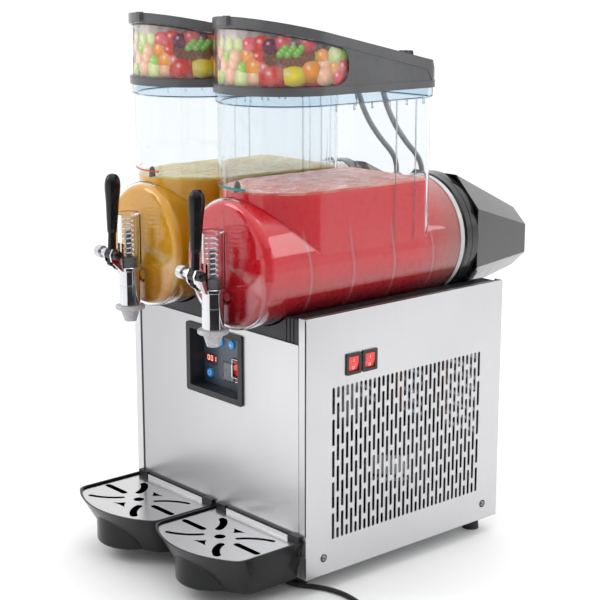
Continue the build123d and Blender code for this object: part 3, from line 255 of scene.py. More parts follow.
def drink(name, side, colour, deep, pale, dull):
    """Iced drink seen through the bowl: even, wet and saturated, with fine ice and some depth; painted
    shade darkens it towards the drum's bottom. The auger's turns show faintly near the wall with a band of
    painted shade beside each, and painted shade dulls the rear end where it runs in under the collar."""
    look = Look(name, colour, 0.3, Subsurface_Weight=0.15, Subsurface_Scale=0.008, Specular_IOR_Level=0.2)
    look.shader.inputs["Subsurface Radius"].default_value = (1.0, 0.35, 0.2)
    height = look.along("Z")
    drum_z, surface_z = DRUM_Z * MM, SLUSH_TOP * MM
    # painted shade: darker towards the drum's bottom
    look.blend(height, drum_z - 0.010, drum_z - 0.080, 0.95, deep)
    # painted shade: the rear end dulls where it runs in under the collar
    look.blend(look.along("Y"), FRONT_Y + 0.225, FRONT_Y + 0.300, 0.75, dull)
    across = look.calc("SUBTRACT", look.along("X"), BOWL_X[side] * MM)
    above = look.calc("SUBTRACT", height, drum_z)
    turns = look.calc("MULTIPLY", look.calc("ARCTAN2", above, across), 1 / math.tau)
    helix = look.calc("MULTIPLY_ADD", look.along("Y"), 1 / AUGER_PITCH, turns)
    wave = look.calc("PINGPONG", helix, 0.5)
    drum_part = look.span(height, drum_z + 0.055, drum_z + 0.025)
    edge = look.times(look.span(wave, 0.034, 0.014), drum_part)
    look.tint(look.times(edge, 0.42), toned(pale, 0.5, 0.4))
    # painted shade: a darker band along each of the auger's turns
    shade = look.span(wave, 0.0, 0.16, 0.35, 0.0)
    look.tint(look.times(shade, drum_part), toned(colour, 0.6))
    look.mottle(9, 5, 0.52, 0.75, 0.12, pale, (1, 0.5, 1.6), 2.0)
    look.blend(height, surface_z - 0.007, surface_z - 0.001, 0.45, pale)
    look.flecks(620, 0.15, 0.0, 0.10, pale)
    look.roughen(look.noise(120, 4), 0.22, 0.4)
    look.rise(look.noise(420, 4), 0.0002, 0.5)
    return look.material


def froth(name, colour, streak, wet):
    """The drink's top: pale frothy ice with drawn-out streaks and wet hollows."""
    look = Look(name, colour, 0.4, Subsurface_Weight=0.5, Subsurface_Scale=0.006, Coat_Weight=0.35,
                Coat_Roughness=0.12)
    look.shader.inputs["Subsurface Radius"].default_value = (1.0, 0.5, 0.35)
    bend = look.node("TexNoise", Vector=look.place, Scale=16.0, Detail=2.0).outputs["Color"]
    look.place = look.node("VectorMath", {"operation": "MULTIPLY_ADD"}, i0=bend, i1=(0.05, 0.05, 0.0),
                           i2=look.place).outputs[0]
    drawn = look.noise(1.0, 5, (75, 26, 20), 1.0)
    look.blend(drawn, 0.46, 0.62, 0.85, streak)
    look.mottle(60, 6, 0.54, 0.7, 0.7, wet, (1, 0.6, 1), 5.0)
    look.flecks(260, 0.22, 0.05, 0.4, streak)
    look.roughen(look.noise(90, 3), 0.2, 0.5)
    look.rise(drawn, 0.0016, 0.8)
    look.rise(look.noise(520, 3), 0.0004, 0.6)
    return look.material


def chrome(name, colour=(0.66, 0.67, 0.69), roughness=(0.05, 0.12)):
    """Polished plating with water spots and faint turning marks."""
    look = Look(name, colour, roughness[0], 1.0)
    look.mottle(24, 4, 0.4, 0.75, 0.35, toned(colour, 0.8))
    look.flecks(170, 0.16, 0.08, 0.10, (0.9, 0.9, 0.9))
    look.surface(look.noise(45, 5, shift=2.0), roughness, 0.0004,
                 look.noise(1.0, 2, (14, 14, 900)), 0.000006)
    return look.wear(0.0006, (0.9, 0.9, 0.92), 0.4).material


def rubber(name, colour, roughness=(0.45, 0.65)):
    """Dull rubber or soft plastic with bloom, dust and paler edges."""
    look = Look(name, colour, roughness[0], Specular_IOR_Level=0.4)
    look.mottle(30, 5, 0.4, 0.75, 0.7, toned(colour, 1.5, 0.01))
    look.dust(80, 0.3, 0.8, 3.0, 0.12, (0.5, 0.48, 0.45))
    look.surface(look.noise(200, 3), roughness, 0.0005, look.noise(1400, 3), 0.00004)
    return look.wear(0.001, toned(colour, 1.0, 0.08), 0.4).material


def galvanised(name):
    """Zinc-coated sheet with its frost pattern."""
    look = Look(name, (0.55, 0.56, 0.57), 0.4, 0.85)
    spangle = look.cells(70)
    shade = look.node("SeparateColor", Color=spangle.outputs["Color"]).outputs[0]
    look.blend(shade, 0, 1, 0.5, (0.74, 0.75, 0.77))
    look.roughen(shade, 0.3, 0.5)
    look.mottle(12, 5, 0.5, 0.8, 0.4, (0.35, 0.33, 0.3))
    look.soften(0.0005)
    look.rise(shade, 0.00003)
    return look.material


def painted(name, colour, roughness=(0.2, 0.32)):
    """Stoved enamel with orange peel, dust and chipped edges."""
    look = Look(name, colour, roughness[0], Coat_Weight=0.4, Coat_Roughness=0.1)
    look.mottle(16, 5, 0.4, 0.8, 0.5, toned(colour, 1.4, 0.02))
    look.dust(50, 0.2, 0.7, 3.0, 0.3, (0.42, 0.4, 0.37))
    look.surface(look.noise(60, 4), roughness, 0.0008, look.noise(260, 2), 0.00008)
    return look.wear(0.0012, (0.4, 0.38, 0.36), 0.7).material


def metal(name, colour, roughness=(0.25, 0.45), brush=(60, 60, 60)):
    """Bare worked metal: copper pipe, cast or pressed aluminium, brass blades."""
    look = Look(name, colour, roughness[0], 1.0)
    look.mottle(20, 5, 0.4, 0.75, 0.5, toned(colour, 0.66))
    look.mottle(90, 5, 0.55, 0.8, 0.4, toned(colour, 1.2), shift=4.0)
    look.surface(look.noise(1.0, 4, brush), roughness, 0.0005,
                 look.noise(1.0, 3, tuple(b * 8 for b in brush)), 0.00002)
    return look.wear(0.0008, toned(colour, 1.3), 0.5).material


def jelly_red(name):
    """Red translucent rocker, lit a little from inside."""
    look = Look(name, (0.80, 0.02, 0.012), 0.16, Transmission_Weight=0.25, IOR=1.49, Coat_Weight=0.6,
                Emission_Color=(1.0, 0.05, 0.02, 1.0), Emission_Strength=0.12)
    look.mottle(260, 3, 0.45, 0.7, 0.5, (1.0, 0.12, 0.06))
    look.surface(look.noise(90, 3), (0.1, 0.24), 0.0005, look.noise(700, 2), 0.00003)
    return look.material


def milky(name, colour):
    """White part-clear plastic, such as a spout or an auger."""
    look = Look(name, colour, 0.3, Subsurface_Weight=0.6, Subsurface_Scale=0.006, Transmission_Weight=0.12,
                IOR=1.47)
    look.mottle(35, 4, 0.4, 0.75, 0.5, toned(colour, 0.9))
    look.mottle(150, 4, 0.55, 0.8, 0.3, (0.95, 0.96, 0.97), shift=2.0)
    look.surface(look.noise(70, 4), (0.22, 0.4), 0.0006, look.noise(900, 2), 0.00003)
    return look.material


def lever_mix(name):
    """Black lever with a plated thumb nut and washer on the pivot pin's left end."""
    look = Look(name, (0.005, 0.005, 0.006), 0.2, Specular_IOR_Level=0.35)
    look.mottle(14, 4, 0.35, 0.7, 0.8, (0.012, 0.012, 0.013))
    nuts = []
    for side in SIDES:
        edge = (BOWL_X[side] - 9.5) * MM
        near = look.span(look.along("X"), edge + 0.0003, edge - 0.0003)
        far = look.span(look.along("X"), edge - 0.030, edge - 0.0295)
        nuts.append(look.times(near, far))
    nut = look.calc("MAXIMUM", *nuts)
    look.tint(nut, (0.62, 0.63, 0.65))
    look.metal_where(nut)
    look.surface(look.noise(60, 4, shift=5.0), (0.16, 0.3), 0.0006, look.noise(1600, 2), 0.00001)
    return look.wear(0.0010, (0.2, 0.2, 0.2), 0.3).material


def finned(name):
    """Condenser: bright fin edges over painted shade in the gaps between them."""
    look = Look(name, (0.42, 0.43, 0.44), 0.4, 0.9)
    waves = look.node("TexWave", {"bands_direction": "Y"}, Vector=look.place, Scale=150.0, Distortion=0.6)
    ridges = waves.outputs[1]
    # painted shade in the gaps between the fins
    look.blend(ridges, 0.2, 0.8, 0.8, (0.12, 0.12, 0.13))
    look.mottle(25, 5, 0.5, 0.8, 0.5, (0.3, 0.27, 0.24))
    look.roughen(look.noise(60, 3), 0.3, 0.55)
    look.rise(ridges, 0.0004)
    return look.material


def glowing(name, colour, strength):
    """Lit plastic or glass, such as a display's figures or a lamp tube."""
    look = Look(name, colour, 0.3, Emission_Color=(*colour, 1.0), Emission_Strength=strength)
    look.mottle(900, 2, 0.4, 0.7, 0.25, toned(colour, 0.6))
    look.roughen(look.noise(300, 2), 0.2, 0.4)
    return look.rise(look.noise(700, 2), 0.00002).material


def printed(name):
    """Printed picture: the colours are stored on the mesh, the paper's dots and gloss are here."""
    look = Look(name, (1, 1, 1), 0.25, Coat_Weight=0.3, Coat_Roughness=0.08)
    look.base = look.node("Attribute", {"attribute_name": "print"}).outputs["Color"]
    look.flecks(1500, 0.1, 0.6, 0.10, (0.02, 0.01, 0.02))
    look.mottle(60, 5, 0.5, 0.8, 0.25, (0.95, 0.9, 0.8))
    look.roughen(look.noise(120, 3), 0.2, 0.34)
    look.rise(look.noise(1200, 2), 0.00001)
    return look.material


def laid_face(name):
    """Control face: grey-blue printed film with a fine texture."""
    look = Look(name, (0.075, 0.095, 0.125), 0.35, Coat_Weight=0.2)
    look.tint(look.span(look.along("X"), -0.058, 0.03, 0.6, 0.0), (0.008, 0.03, 0.075))
    look.mottle(40, 4, 0.4, 0.75, 0.4, (0.12, 0.14, 0.17))
    look.surface(look.noise(150, 3), (0.25, 0.42), 0.0003, look.noise(1600, 2), 0.00003)
    return look.wear(0.0006, (0.3, 0.32, 0.36), 0.4).material


LOOKS = {
    # this look carries painted shade on the left part of its sheets
    "front": steel("brushed_steel_front", shade=0.7),
    "side": steel("brushed_steel_side", (0.61, 0.61, 0.625), fold=0.0016),
    "grate": steel("pressed_steel", (0.62, 0.62, 0.63), (60, 60, 60), (0.14, 0.26)),
    "black": plastic("black_moulding", (0.012, 0.0125, 0.014), Specular_IOR_Level=0.3),
    "deck": plastic("deck_plastic", (0.024, 0.025, 0.029), (0.3, 0.42), 1100, Specular_IOR_Level=0.3),
    "hood": plastic("hood_plastic", (0.010, 0.0105, 0.012), (0.14, 0.26), 900, 0.00001, 0.0012,
                    Coat_Weight=0.3),
    "lid": plastic("lid_plastic", (0.098, 0.099, 0.103), (0.18, 0.265), 1300, 0.00001, 0.0010,
                   Specular_IOR_Level=0.35),
    "tray": plastic("tray_plastic", (0.005, 0.0055, 0.0065), (0.2, 0.265), 1200, 0.00001, 0.0012,
                    Specular_IOR_Level=0.3),
    "lever": plastic("lever_plastic", (0.005, 0.005, 0.006), (0.18, 0.3), 1600, 0.00001,
                     Specular_IOR_Level=0.35),
    "bezel": plastic("bezel_plastic", (0.022, 0.023, 0.026), (0.3, 0.42), Specular_IOR_Level=0.3),
    "face": laid_face("control_film"),
    # the keys' faint blue glow is painted light
    "blue": plastic("blue_key", (0.01, 0.30, 0.78), (0.2, 0.3), 1500, 0.00001, 0.0004,
                    Emission_Color=(0.02, 0.35, 0.9, 1.0), Emission_Strength=0.12),
    "tap": lever_mix("lever_and_nut"),
    "switch": plastic("switch_plastic", (0.012, 0.012, 0.013), (0.2, 0.3)),
    "box": plastic("box_plastic", (0.05, 0.05, 0.052)),
    "dark_screw": metal("plated_screw", (0.30, 0.30, 0.31), (0.2, 0.35)),
    "rocker": jelly_red("red_rocker"),
    "tank": clear_plastic("clear_bowl", rim_z=(TANK_TOP - 15) * MM),
    "pane": clear_plastic("clear_pane", (0.98, 0.985, 0.99), ior=1.25),
    "red": drink("red_slush", "right", (0.76, 0.002, 0.014), (0.22, 0.0, 0.003), (0.84, 0.05, 0.05),
                 (0.36, 0.14, 0.11)),
    "orange": drink("orange_slush", "left", (0.86, 0.38, 0.003), (0.50, 0.16, 0.0), (0.90, 0.55, 0.06),
                    (0.50, 0.32, 0.12)),
    "red_top": froth("red_froth", (0.84, 0.13, 0.07), (0.90, 0.36, 0.22), (0.72, 0.03, 0.015)),
    "orange_top": froth("orange_froth", (0.80, 0.56, 0.09), (0.88, 0.74, 0.28), (0.76, 0.42, 0.02)),
    "chrome": chrome("chrome_plate"),
    "screw": chrome("bright_screw", (0.72, 0.72, 0.73), (0.12, 0.22)),
    "nozzle": milky("milky_spout", (0.50, 0.51, 0.53)),
    "auger": milky("auger_plastic", (0.86, 0.86, 0.84)),
    "piston": milky("piston_plastic", (0.10, 0.10, 0.105)),
    "rubber": rubber("black_rubber", (0.015, 0.015, 0.016)),
    "seal": rubber("grey_seal", (0.50, 0.50, 0.50), (0.35, 0.5)),
    "pan": galvanised("zinc_sheet"),
    "pot": painted("black_enamel", (0.02, 0.02, 0.022)),
    "copper": metal("copper_pipe", (0.72, 0.36, 0.20)),
    "cast": metal("cast_alloy", (0.34, 0.35, 0.36), (0.4, 0.6)),
    "brass": metal("brass_blade", (0.75, 0.58, 0.28), (0.15, 0.3)),
    "fins": finned("condenser_fins"),
    "print": printed("fruit_print"),
    "lead": plastic("conduit_plastic", (0.20, 0.21, 0.225), (0.35, 0.5)),
    "digit": glowing("display_digit", (1.0, 0.42, 0.36), 1.1),
    "display": glowing("display_window", (0.10, 0.004, 0.004), 0.2),
    "lamp": glowing("lamp_tube", (1.0, 0.97, 0.92), 1.2),
    "mark": plastic("pale_mark", (0.72, 0.74, 0.77), (0.3, 0.4), 1500, 0.00001, 0.0001),
    "teal": plastic("teal_mark", (0.02, 0.22, 0.20), (0.25, 0.35), 1500, 0.00001, 0.0001),
    "red_mark": plastic("red_mark", (0.55, 0.03, 0.03), (0.25, 0.35), 1500, 0.00001, 0.0001),
    "pin": plastic("level_pin", (0.035, 0.03, 0.012), (0.2, 0.3), 1500, 0.00001, 0.0004,
                   Specular_IOR_Level=0.2),
}

# The nodes that wear each look; a star stands for both sides.
LOOK_NODES = {
    "front": "front_panel back_panel", "side": "side_panel_*", "pan": "base_pan", "deck": "top_deck",
    "rubber": "feet cable_gland power_cord cord_coil power_plug", "bezel": "control_bezel",
    "face": "control_face", "switch": "switch_housings", "pane": "switch_boot lid_window_*",
    "rocker": "main_rocker side_rocker_front side_rocker_rear", "blue": "key_up key_down key_set",
    "pot": "compressor", "fins": "condenser", "cast": "fan_motor gear_motors", "box": "electrical_box",
    "black": "fan_blade tray_brackets", "copper": "refrigerant_lines", "seal": "bowl_seals",
    "grate": "evaporators drip_grate_*", "hood": "housing_collars rear_housings",
    "dark_screw": "panel_screws", "orange": "slush_left", "red": "slush_right", "tank": "bowl_*",
    "auger": "auger_*", "chrome": "tap_body_*", "nozzle": "nozzle_*", "piston": "piston_*",
    "screw": "tap_spring_*", "tap": "tap_lever_*", "lid": "lid_*", "lead": "lamp_lead_*",
    "tray": "drip_tray_*",
}
for look, stems in LOOK_NODES.items():
    for name in sorted({stem.replace("*", side) for stem in stems.split() for side in SIDES}):
        for material_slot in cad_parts[name].material_slots:
            material_slot.link = "OBJECT"
            material_slot.material = LOOKS[look]


# ---- mesh helpers
def add_object(name, data):
    made = bpy.data.objects.new(name, data)
    bpy.context.scene.collection.objects.link(made)
    return made


def add_mesh(name, bm):
    mesh = bpy.data.meshes.new(name)
    bm.to_mesh(mesh)
    bm.free()
    return add_object(name, mesh)


def piece(name, bm, look, body, sharp=35):
    """Turns mesh code into a named piece that rides on a body."""
    bmesh.ops.recalc_face_normals(bm, faces=bm.faces)
    made = add_mesh(name, bm)
    made.data.shade_smooth()
    made.data.set_sharp_from_angle(angle=math.radians(sharp))
    made.data.materials.append(LOOKS[look])
    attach(made, body)
    return made


def angles(count, start=0.0, sweep=math.tau):
    """Evenly spaced angles, with both ends of the sweep."""
    return [start + sweep * step / count for step in range(count + 1)]


def polar(radius, angle, x=0.0, y=0.0):
    """The point at a radius and an angle from another."""
    return x + radius * math.cos(angle), y + radius * math.sin(angle)


def skin(bm, rings, closed=True, capped=False):
    """Joins rows of points with faces; a row may close on itself."""
    rows = [[bm.verts.new(point) for point in ring] for ring in rings]
    count = len(rows[0])
    for upper, lower in zip(rows, rows[1:]):
        for i in range(count if closed else count - 1):
            j = (i + 1) % count
            bm.faces.new((upper[i], upper[j], lower[j], lower[i]))
    if capped:
        bm.faces.new(rows[0])
        bm.faces.new(rows[-1])
    return rows


def lathe(bm, profile, origin, axis, around=40):
    """Turned form: profile holds (distance along the axis, radius), in millimetres."""
    turn = Vector(axis).to_track_quat("Z", "Y").to_matrix()
    skin(bm, [[origin + turn @ (Vector((*polar(radius, angle), distance)) * MM)
               for angle in angles(around)[:-1]] for distance, radius in profile], capped=True)


def soft_block(bm, low, high, radius, taper=1.0):
    """Rounded block between two corners, in millimetres; taper narrows its far end along Z."""
    made = bmesh.ops.create_cube(bm, size=1)["verts"]
    middle, size = [(a + b) / 2 for a, b in zip(low, high)], [b - a for a, b in zip(low, high)]
    for vert in made:
        shrink = taper if vert.co.z > 0 else 1.0
        local = [vert.co.x * size[0] * shrink, vert.co.y * size[1] * shrink, vert.co.z * size[2]]
        vert.co = spot(*[m + c for m, c in zip(middle, local)])
    edges = {edge for vert in made for edge in vert.link_edges}
    bmesh.ops.bevel(bm, geom=list(edges), offset=radius * MM, segments=3, profile=0.5, affect="EDGES")


def tank_loop(grow, x=0.0, nose_steps=48, side_steps=14):
    """Plan of the tank as points in millimetres, from the left of the nose and on round its front."""
    half, back, corner = TANK_HALF + grow, TANK_BACK + grow, TANK_CORNER + grow
    straight = back - corner - NOSE_Y
    steps = [straight * step / side_steps for step in range(1, side_steps)]
    loop = [polar(half, angle, x, NOSE_Y) for angle in angles(nose_steps, math.pi, math.pi)]
    loop += [(x + half, NOSE_Y + step) for step in steps]
    for centre_x, first in ((x + half - corner, 0.0), (x + corner - half, math.pi / 2)):
        loop += [polar(corner, angle, centre_x, back - corner) for angle in angles(8, first, math.pi / 2)]
    return loop + [(x - half, back - corner - step) for step in steps]


# ---- drink surface
# The froth's skin: how far it stays inside the tank, how far its edge dips into the drink, how
# far the rest stands proud of it, and the point its rings close in on.
FROTH_INSET, FROTH_SINK, FROTH_PROUD = 3.9, 0.8, 0.15
FROTH_RINGS = 40
FROTH_MIDDLE_Y = 105.0


def froth_height(x, y, seed):
    """Slow swells, folds drawn out by the auger, and small lumps, in millimetres."""
    swell = noise.noise(Vector((x / 60, y / 90, seed)))
    fold = 1 - 2.2 * abs(noise.noise(Vector((x / 13 + 0.02 * y, y / 42, seed + 5))))
    lump = noise.noise(Vector((x / 5, y / 6, seed + 9)))
    return 1.5 + 1.2 * swell + 0.9 * fold + 0.45 * lump


def make_froth(side):
    """Uneven top of the drink, in rings that close in from the tank's wall."""
    bm = bmesh.new()
    outline = tank_loop(-FROTH_INSET)
    seed = 3.0 if side == "left" else 11.0
    rings = []
    for ring in range(FROTH_RINGS + 1):
        scale = 1 - 0.985 * ring / FROTH_RINGS
        base = SLUSH_TOP - (FROTH_SINK if ring == 0 else -FROTH_PROUD)
        row = []
        for px, py in outline:
            x, y = px * scale, FROTH_MIDDLE_Y + (py - FROTH_MIDDLE_Y) * scale
            rise = froth_height(x, y, seed) * min(1.0, ring / 2)
            row.append(spot(BOWL_X[side] + x, y, base + max(0, rise)))
        rings.append(row)
    rows = skin(bm, rings)
    bm.faces.new(rows[-1])
    top = "orange_top" if side == "left" else "red_top"
    return piece("froth_" + side, bm, top, "bowl_" + side, sharp=180)


# ---- bowl details
def make_tank_ribs(side):
    """Mould lines on both flat sides and short gussets under the rim flange."""
    bm = bmesh.new()
    x = BOWL_X[side]
    lines = [(y, 1.1, 1.1, DRUM_Z + 16, TANK_TOP - 15) for y in (176.0, 214.0)]
    gussets = [(62 + index * 33, 1.0, 2.6, TANK_TOP - 22, TANK_TOP - 14.5) for index in range(6)]
    for way in (-1, 1):
        for y, half, proud, low, high in lines + gussets:
            near, far = sorted((x + way * (TANK_HALF - 0.2), x + way * (TANK_HALF + proud)))
            soft_block(bm, (near, y - half, low), (far, y + half, high), 0.4)
    return piece("tank_ribs_" + side, bm, "tank", "bowl_" + side)


def strip_on_tank(bm, x, start, stop, low, high, proud=0.25):
    """Thin raised strip that follows the tank's nose between two steps of its outline."""
    inner, outer = tank_loop(0.02, x), tank_loop(proud, x)
    rings = []
    for (ix, iy), (ox, oy) in list(zip(inner, outer))[start:stop]:
        rings.append([spot(ix, iy, low), spot(ox, oy, low), spot(ox, oy, high), spot(ix, iy, high)])
    skin(bm, rings, capped=True)


def make_fill_marks(side):
    """Raised level marks round the tank's nose: a red one on each bowl, a green one on the right."""
    x = BOWL_X[side]
    first, last = 10, 29
    upper = bmesh.new()
    strip_on_tank(upper, x, first, last if side == "left" else 20, SLUSH_TOP + 8.5, SLUSH_TOP + 10.6)
    piece("fill_mark_upper_" + side, upper, "red_mark", "bowl_" + side)
    if side == "right":
        lower = bmesh.new()
        strip_on_tank(lower, x, first, last, SLUSH_TOP + 3.5, SLUSH_TOP + 7.0)
        piece("fill_mark_lower", lower, "teal", "bowl_right")


def make_level_pin(side):
    """Dark pin that stands in the tank's nose, at the drink's level."""
    bm = bmesh.new()
    profile = [(0, 3.4), (8, 3.8), (22, 4.4), (30, 4.2), (34, 3.1), (36, 1.2)]
    lathe(bm, profile, spot(BOWL_X[side], -32.5, SLUSH_TOP - 21), (0, 0, 1))
    return piece("level_pin_" + side, bm, "pin", "bowl_" + side)


def make_o_rings(side):
    """Two rubber rings on the piston."""
    bm = bmesh.new()
    for z in (409.0, 428.0):
        profile = [(-1.15 * math.cos(angle), 11.05 + 1.1 * math.sin(angle))
                   for angle in angles(12, 0.0, math.pi)]
        lathe(bm, profile, spot(BOWL_X[side], -78, z), (0, 0, 1), 56)
    return piece("o_rings_" + side, bm, "rubber", "piston_" + side)


# ---- lids
# The picture card: how far inside the tank's plan it stands, its foot, how far under the lid's
# top it ends, and where the window stops.
CARD_GROW, CARD_LOW, CARD_GAP = -1.8, 703.5, 15.5
WINDOW_END = 88.0
LID_NOSE_Y, LID_NOSE_Z = -48.0, 795.0
LID_SLOPE = (731.0 - LID_NOSE_Z) / 289.0


def lid_top(y):
    """Height of the lid's sloping top."""
    return LID_NOSE_Z + LID_SLOPE * (y - LID_NOSE_Y)


def card_path(x):
    """Plan of the picture card: along one side, round the nose and back along the other."""
    half = TANK_HALF + CARD_GROW
    straight = [WINDOW_END - (WINDOW_END - NOSE_Y) * step / 10 for step in range(10)]
    path = [(x - half, y) for y in straight]
    path += [polar(half, angle, x, NOSE_Y) for angle in angles(60, math.pi, math.pi)]
    return path + [(x + half, y) for y in reversed(straight)]


class Card:
    """Maps a place on the flat picture to the curved card inside the window."""

    def __init__(self, x):
        self.path = card_path(x)
        self.marks = [0.0]
        for a, b in zip(self.path, self.path[1:]):
            self.marks.append(self.marks[-1] + math.dist(a, b))
        self.length = self.marks[-1]

    def at(self, along, z, lift=0.0):
        """The point at a distance along the card, lifted off its face."""
        along = min(max(along, 0.01), self.length - 0.01)
        index = max(i for i, mark in enumerate(self.marks[:-1]) if mark <= along)
        a, b = self.path[index], self.path[index + 1]
        share = (along - self.marks[index]) / (self.marks[index + 1] - self.marks[index])
        px, py = a[0] + (b[0] - a[0]) * share, a[1] + (b[1] - a[1]) * share
        step = math.dist(a, b)
        out = ((b[1] - a[1]) / step, -(b[0] - a[0]) / step)
        return spot(px + out[0] * lift, py + out[1] * lift, z)

    def top(self, along):
        """Height of the card's upper edge."""
        y = (self.at(along, 0).y - FRONT_Y) / MM
        return lid_top(y) - CARD_GAP


# Each fruit's colour, half width and half height.
FRUITS = {
    "strawberry": ((0.72, 0.03, 0.02), 15, 13), "lemon": ((0.90, 0.74, 0.03), 17, 12),
    "orange": ((0.92, 0.33, 0.03), 14, 14), "lime": ((0.35, 0.62, 0.08), 12, 12),
    "peach": ((0.93, 0.52, 0.32), 14, 13), "plum": ((0.16, 0.02, 0.06), 13, 12),
    "apple": ((0.78, 0.10, 0.12), 15, 14), "pear": ((0.72, 0.80, 0.35), 13, 14),
    "grape": ((0.25, 0.62, 0.08), 5, 5),
}


def paint(layer, loops, colour):
    """Colours corners of the printed card, kept within range."""
    for loop in loops:
        loop[layer] = (*[max(0.0, min(1.0, c)) for c in colour], 1.0)


def add_fruit(bm, layer, card, along, z, kind, lift, scale=1.0, lean=0.0):
    """One painted fruit: a shallow dome, shaded towards its rim, with a soft highlight."""
    colour, wide, tall = FRUITS[kind]
    wide, tall = wide * scale, tall * scale
    rings, tones = [], []
    for ring in range(7):
        reach = 1 - ring / 6.3
        row = []
        for angle in angles(26)[:-1]:
            u, v = polar(reach, angle)
            across = wide * (u * math.cos(lean) - v * math.sin(lean))
            up = tall * (u * math.sin(lean) + v * math.cos(lean))
            height = min(max(z + up, CARD_LOW + 0.5), card.top(along + across) - 0.5)
            row.append(card.at(along + across, height, lift + 0.5 * (1 - reach ** 2)))
            light = 0.62 + 0.5 * (1 - reach) + 0.28 * (v - 0.5 * u)
            shine = max(0.0, 1 - math.hypot(u + 0.3, v - 0.4) / 0.34) ** 2
            tones.append((light, shine))
        rings.append(row)
    rows = skin(bm, rings)
    bm.faces.new(rows[-1])
    for vert, (light, shine) in zip([vert for row in rows for vert in row], tones):
        paint(layer, vert.link_loops, [c * light * (1 - shine) + shine * 0.95 for c in colour])


def add_backing(bm, layer, card, columns=120, levels=6):
    """The card itself, dark at its ends and cream in the middle, in strips along its length."""
    dark, pale = (0.10, 0.05, 0.06), (0.86, 0.74, 0.68)
    rows = []
    for column in range(columns + 1):
        along = card.length * column / columns
        rise = card.top(along) - CARD_LOW
        rows.append([card.at(along, CARD_LOW + rise * level / levels) for level in range(levels + 1)])
    for column, row in enumerate(skin(bm, rows, closed=False)):
        share = column / columns
        cream = max(0.0, 1 - abs(share - 0.5) / 0.22)
        for level, vert in enumerate(row):
            shade = 0.75 + 0.4 * noise.noise(Vector((share * 30, level * 0.7, 2)))
            paint(layer, vert.link_loops, [(d + (p - d) * cream) * shade for d, p in zip(dark, pale)])


def add_basket(bm, layer, card, along, z, wide, tall, lift):
    """Woven bowl: a half ellipse of upright slats with a rounded rim."""
    slats = 22
    for index in range(slats):
        a, b = -1 + 2 * index / slats, -1 + 2 * (index + 1) / slats
        for level in range(5):
            corners = []
            for u, k in ((a, level), (b, level), (b, level + 1), (a, level + 1)):
                edge = math.sqrt(max(0.0, 1 - u * u * 0.85))
                corners.append(card.at(along + wide * u, z - tall * edge * k / 5, lift))
            face = bm.faces.new([bm.verts.new(corner) for corner in corners])
            weave = 0.7 if (index + level) % 2 else 1.15
            paint(layer, face.loops, [c * weave * (1 - 0.35 * abs(a)) for c in (0.26, 0.10, 0.05)])


# Fruits below each basket: kind, place along the card from its middle, height, size, lean.
FRONT_FRUITS = (("strawberry", -20, 718, 1.15, 0.2), ("lemon", 6, 719, 1.1, 0.35),
                ("orange", 29, 724, 1.05, 0.0), ("peach", 48, 718, 1.0, 0.2))


def make_lid_picture(side):
    """Generic fruit picture with no words, on a card inside the window."""
    rng = random.Random(5)
    card = Card(BOWL_X[side])
    bm = bmesh.new()
    layer = bm.loops.layers.float_color.new("print")
    add_backing(bm, layer, card)
    middle = card.length / 2
    pale = ("peach", "apple", "pear", "lime", "peach", "orange")
    bold = ("strawberry", "orange", "lemon", "apple", "plum", "lime")
    lift = 0.15
    for row, z in enumerate((772, 756, 742, 728, 715)):
        along = -4 + row * 7 % 15
        while along < card.length + 8:
            offset = abs(along - middle)
            kinds = pale if offset < 38 or offset > 128 else bold
            if z + 6 < card.top(along):
                add_fruit(bm, layer, card, along, z + rng.uniform(-2, 2), rng.choice(kinds), lift,
                          rng.uniform(0.75, 1.05), rng.uniform(-0.6, 0.6))
                lift += 0.012
            along += rng.uniform(17, 23)
    for way in (-1, 1):
        centre = middle + way * 84
        add_basket(bm, layer, card, centre, 752, 34, 30, lift + 0.4)
        for index in range(4):
            kind = ("plum", "apple")[index % 2]
            add_fruit(bm, layer, card, centre - 24 + index * 16, 757 + 3 * (index % 2), kind,
                      lift + 0.5, 0.85)
        for index in range(9):
            add_fruit(bm, layer, card, centre - 12 + 3.4 * index, 747 + 4 * (index % 3), "grape",
                      lift + 0.9 + index * 0.02)
        for kind, shift, z, size, lean in FRONT_FRUITS:
            add_fruit(bm, layer, card, centre + way * shift, z, kind, lift + 1.2 + size * 0.1, size, lean)
    return piece("lid_picture_" + side, bm, "print", "lid_" + side, sharp=180)


def make_lid_lamp(side):
    """Lamp tube with end caps, across the lid behind the picture."""
    bm = bmesh.new()
    profile = [(0, 3), (0.6, 6), (8, 6.3), (9, 5), (70, 5), (71, 6.3), (78.4, 6), (79, 3)]
    lathe(bm, profile, spot(BOWL_X[side] - 39.5, 62, 742), (1, 0, 0))
    return piece("lid_lamp_" + side, bm, "lamp", "lid_" + side)


def make_lid_knob(side):
    """Small catch that stands on the lid's slope near its back."""
    bm = bmesh.new()
    x = BOWL_X[side] + 47
    top = lid_top(236)
    soft_block(bm, (x - 9, 226, top - 3), (x + 9, 244, top + 10.5), 1.6, 0.86)
    soft_block(bm, (x - 7, 218, top - 1.5), (x + 7, 229, top + 5.0), 1.2, 0.9)
    return piece("lid_catch_" + side, bm, "lever", "lid_" + side)


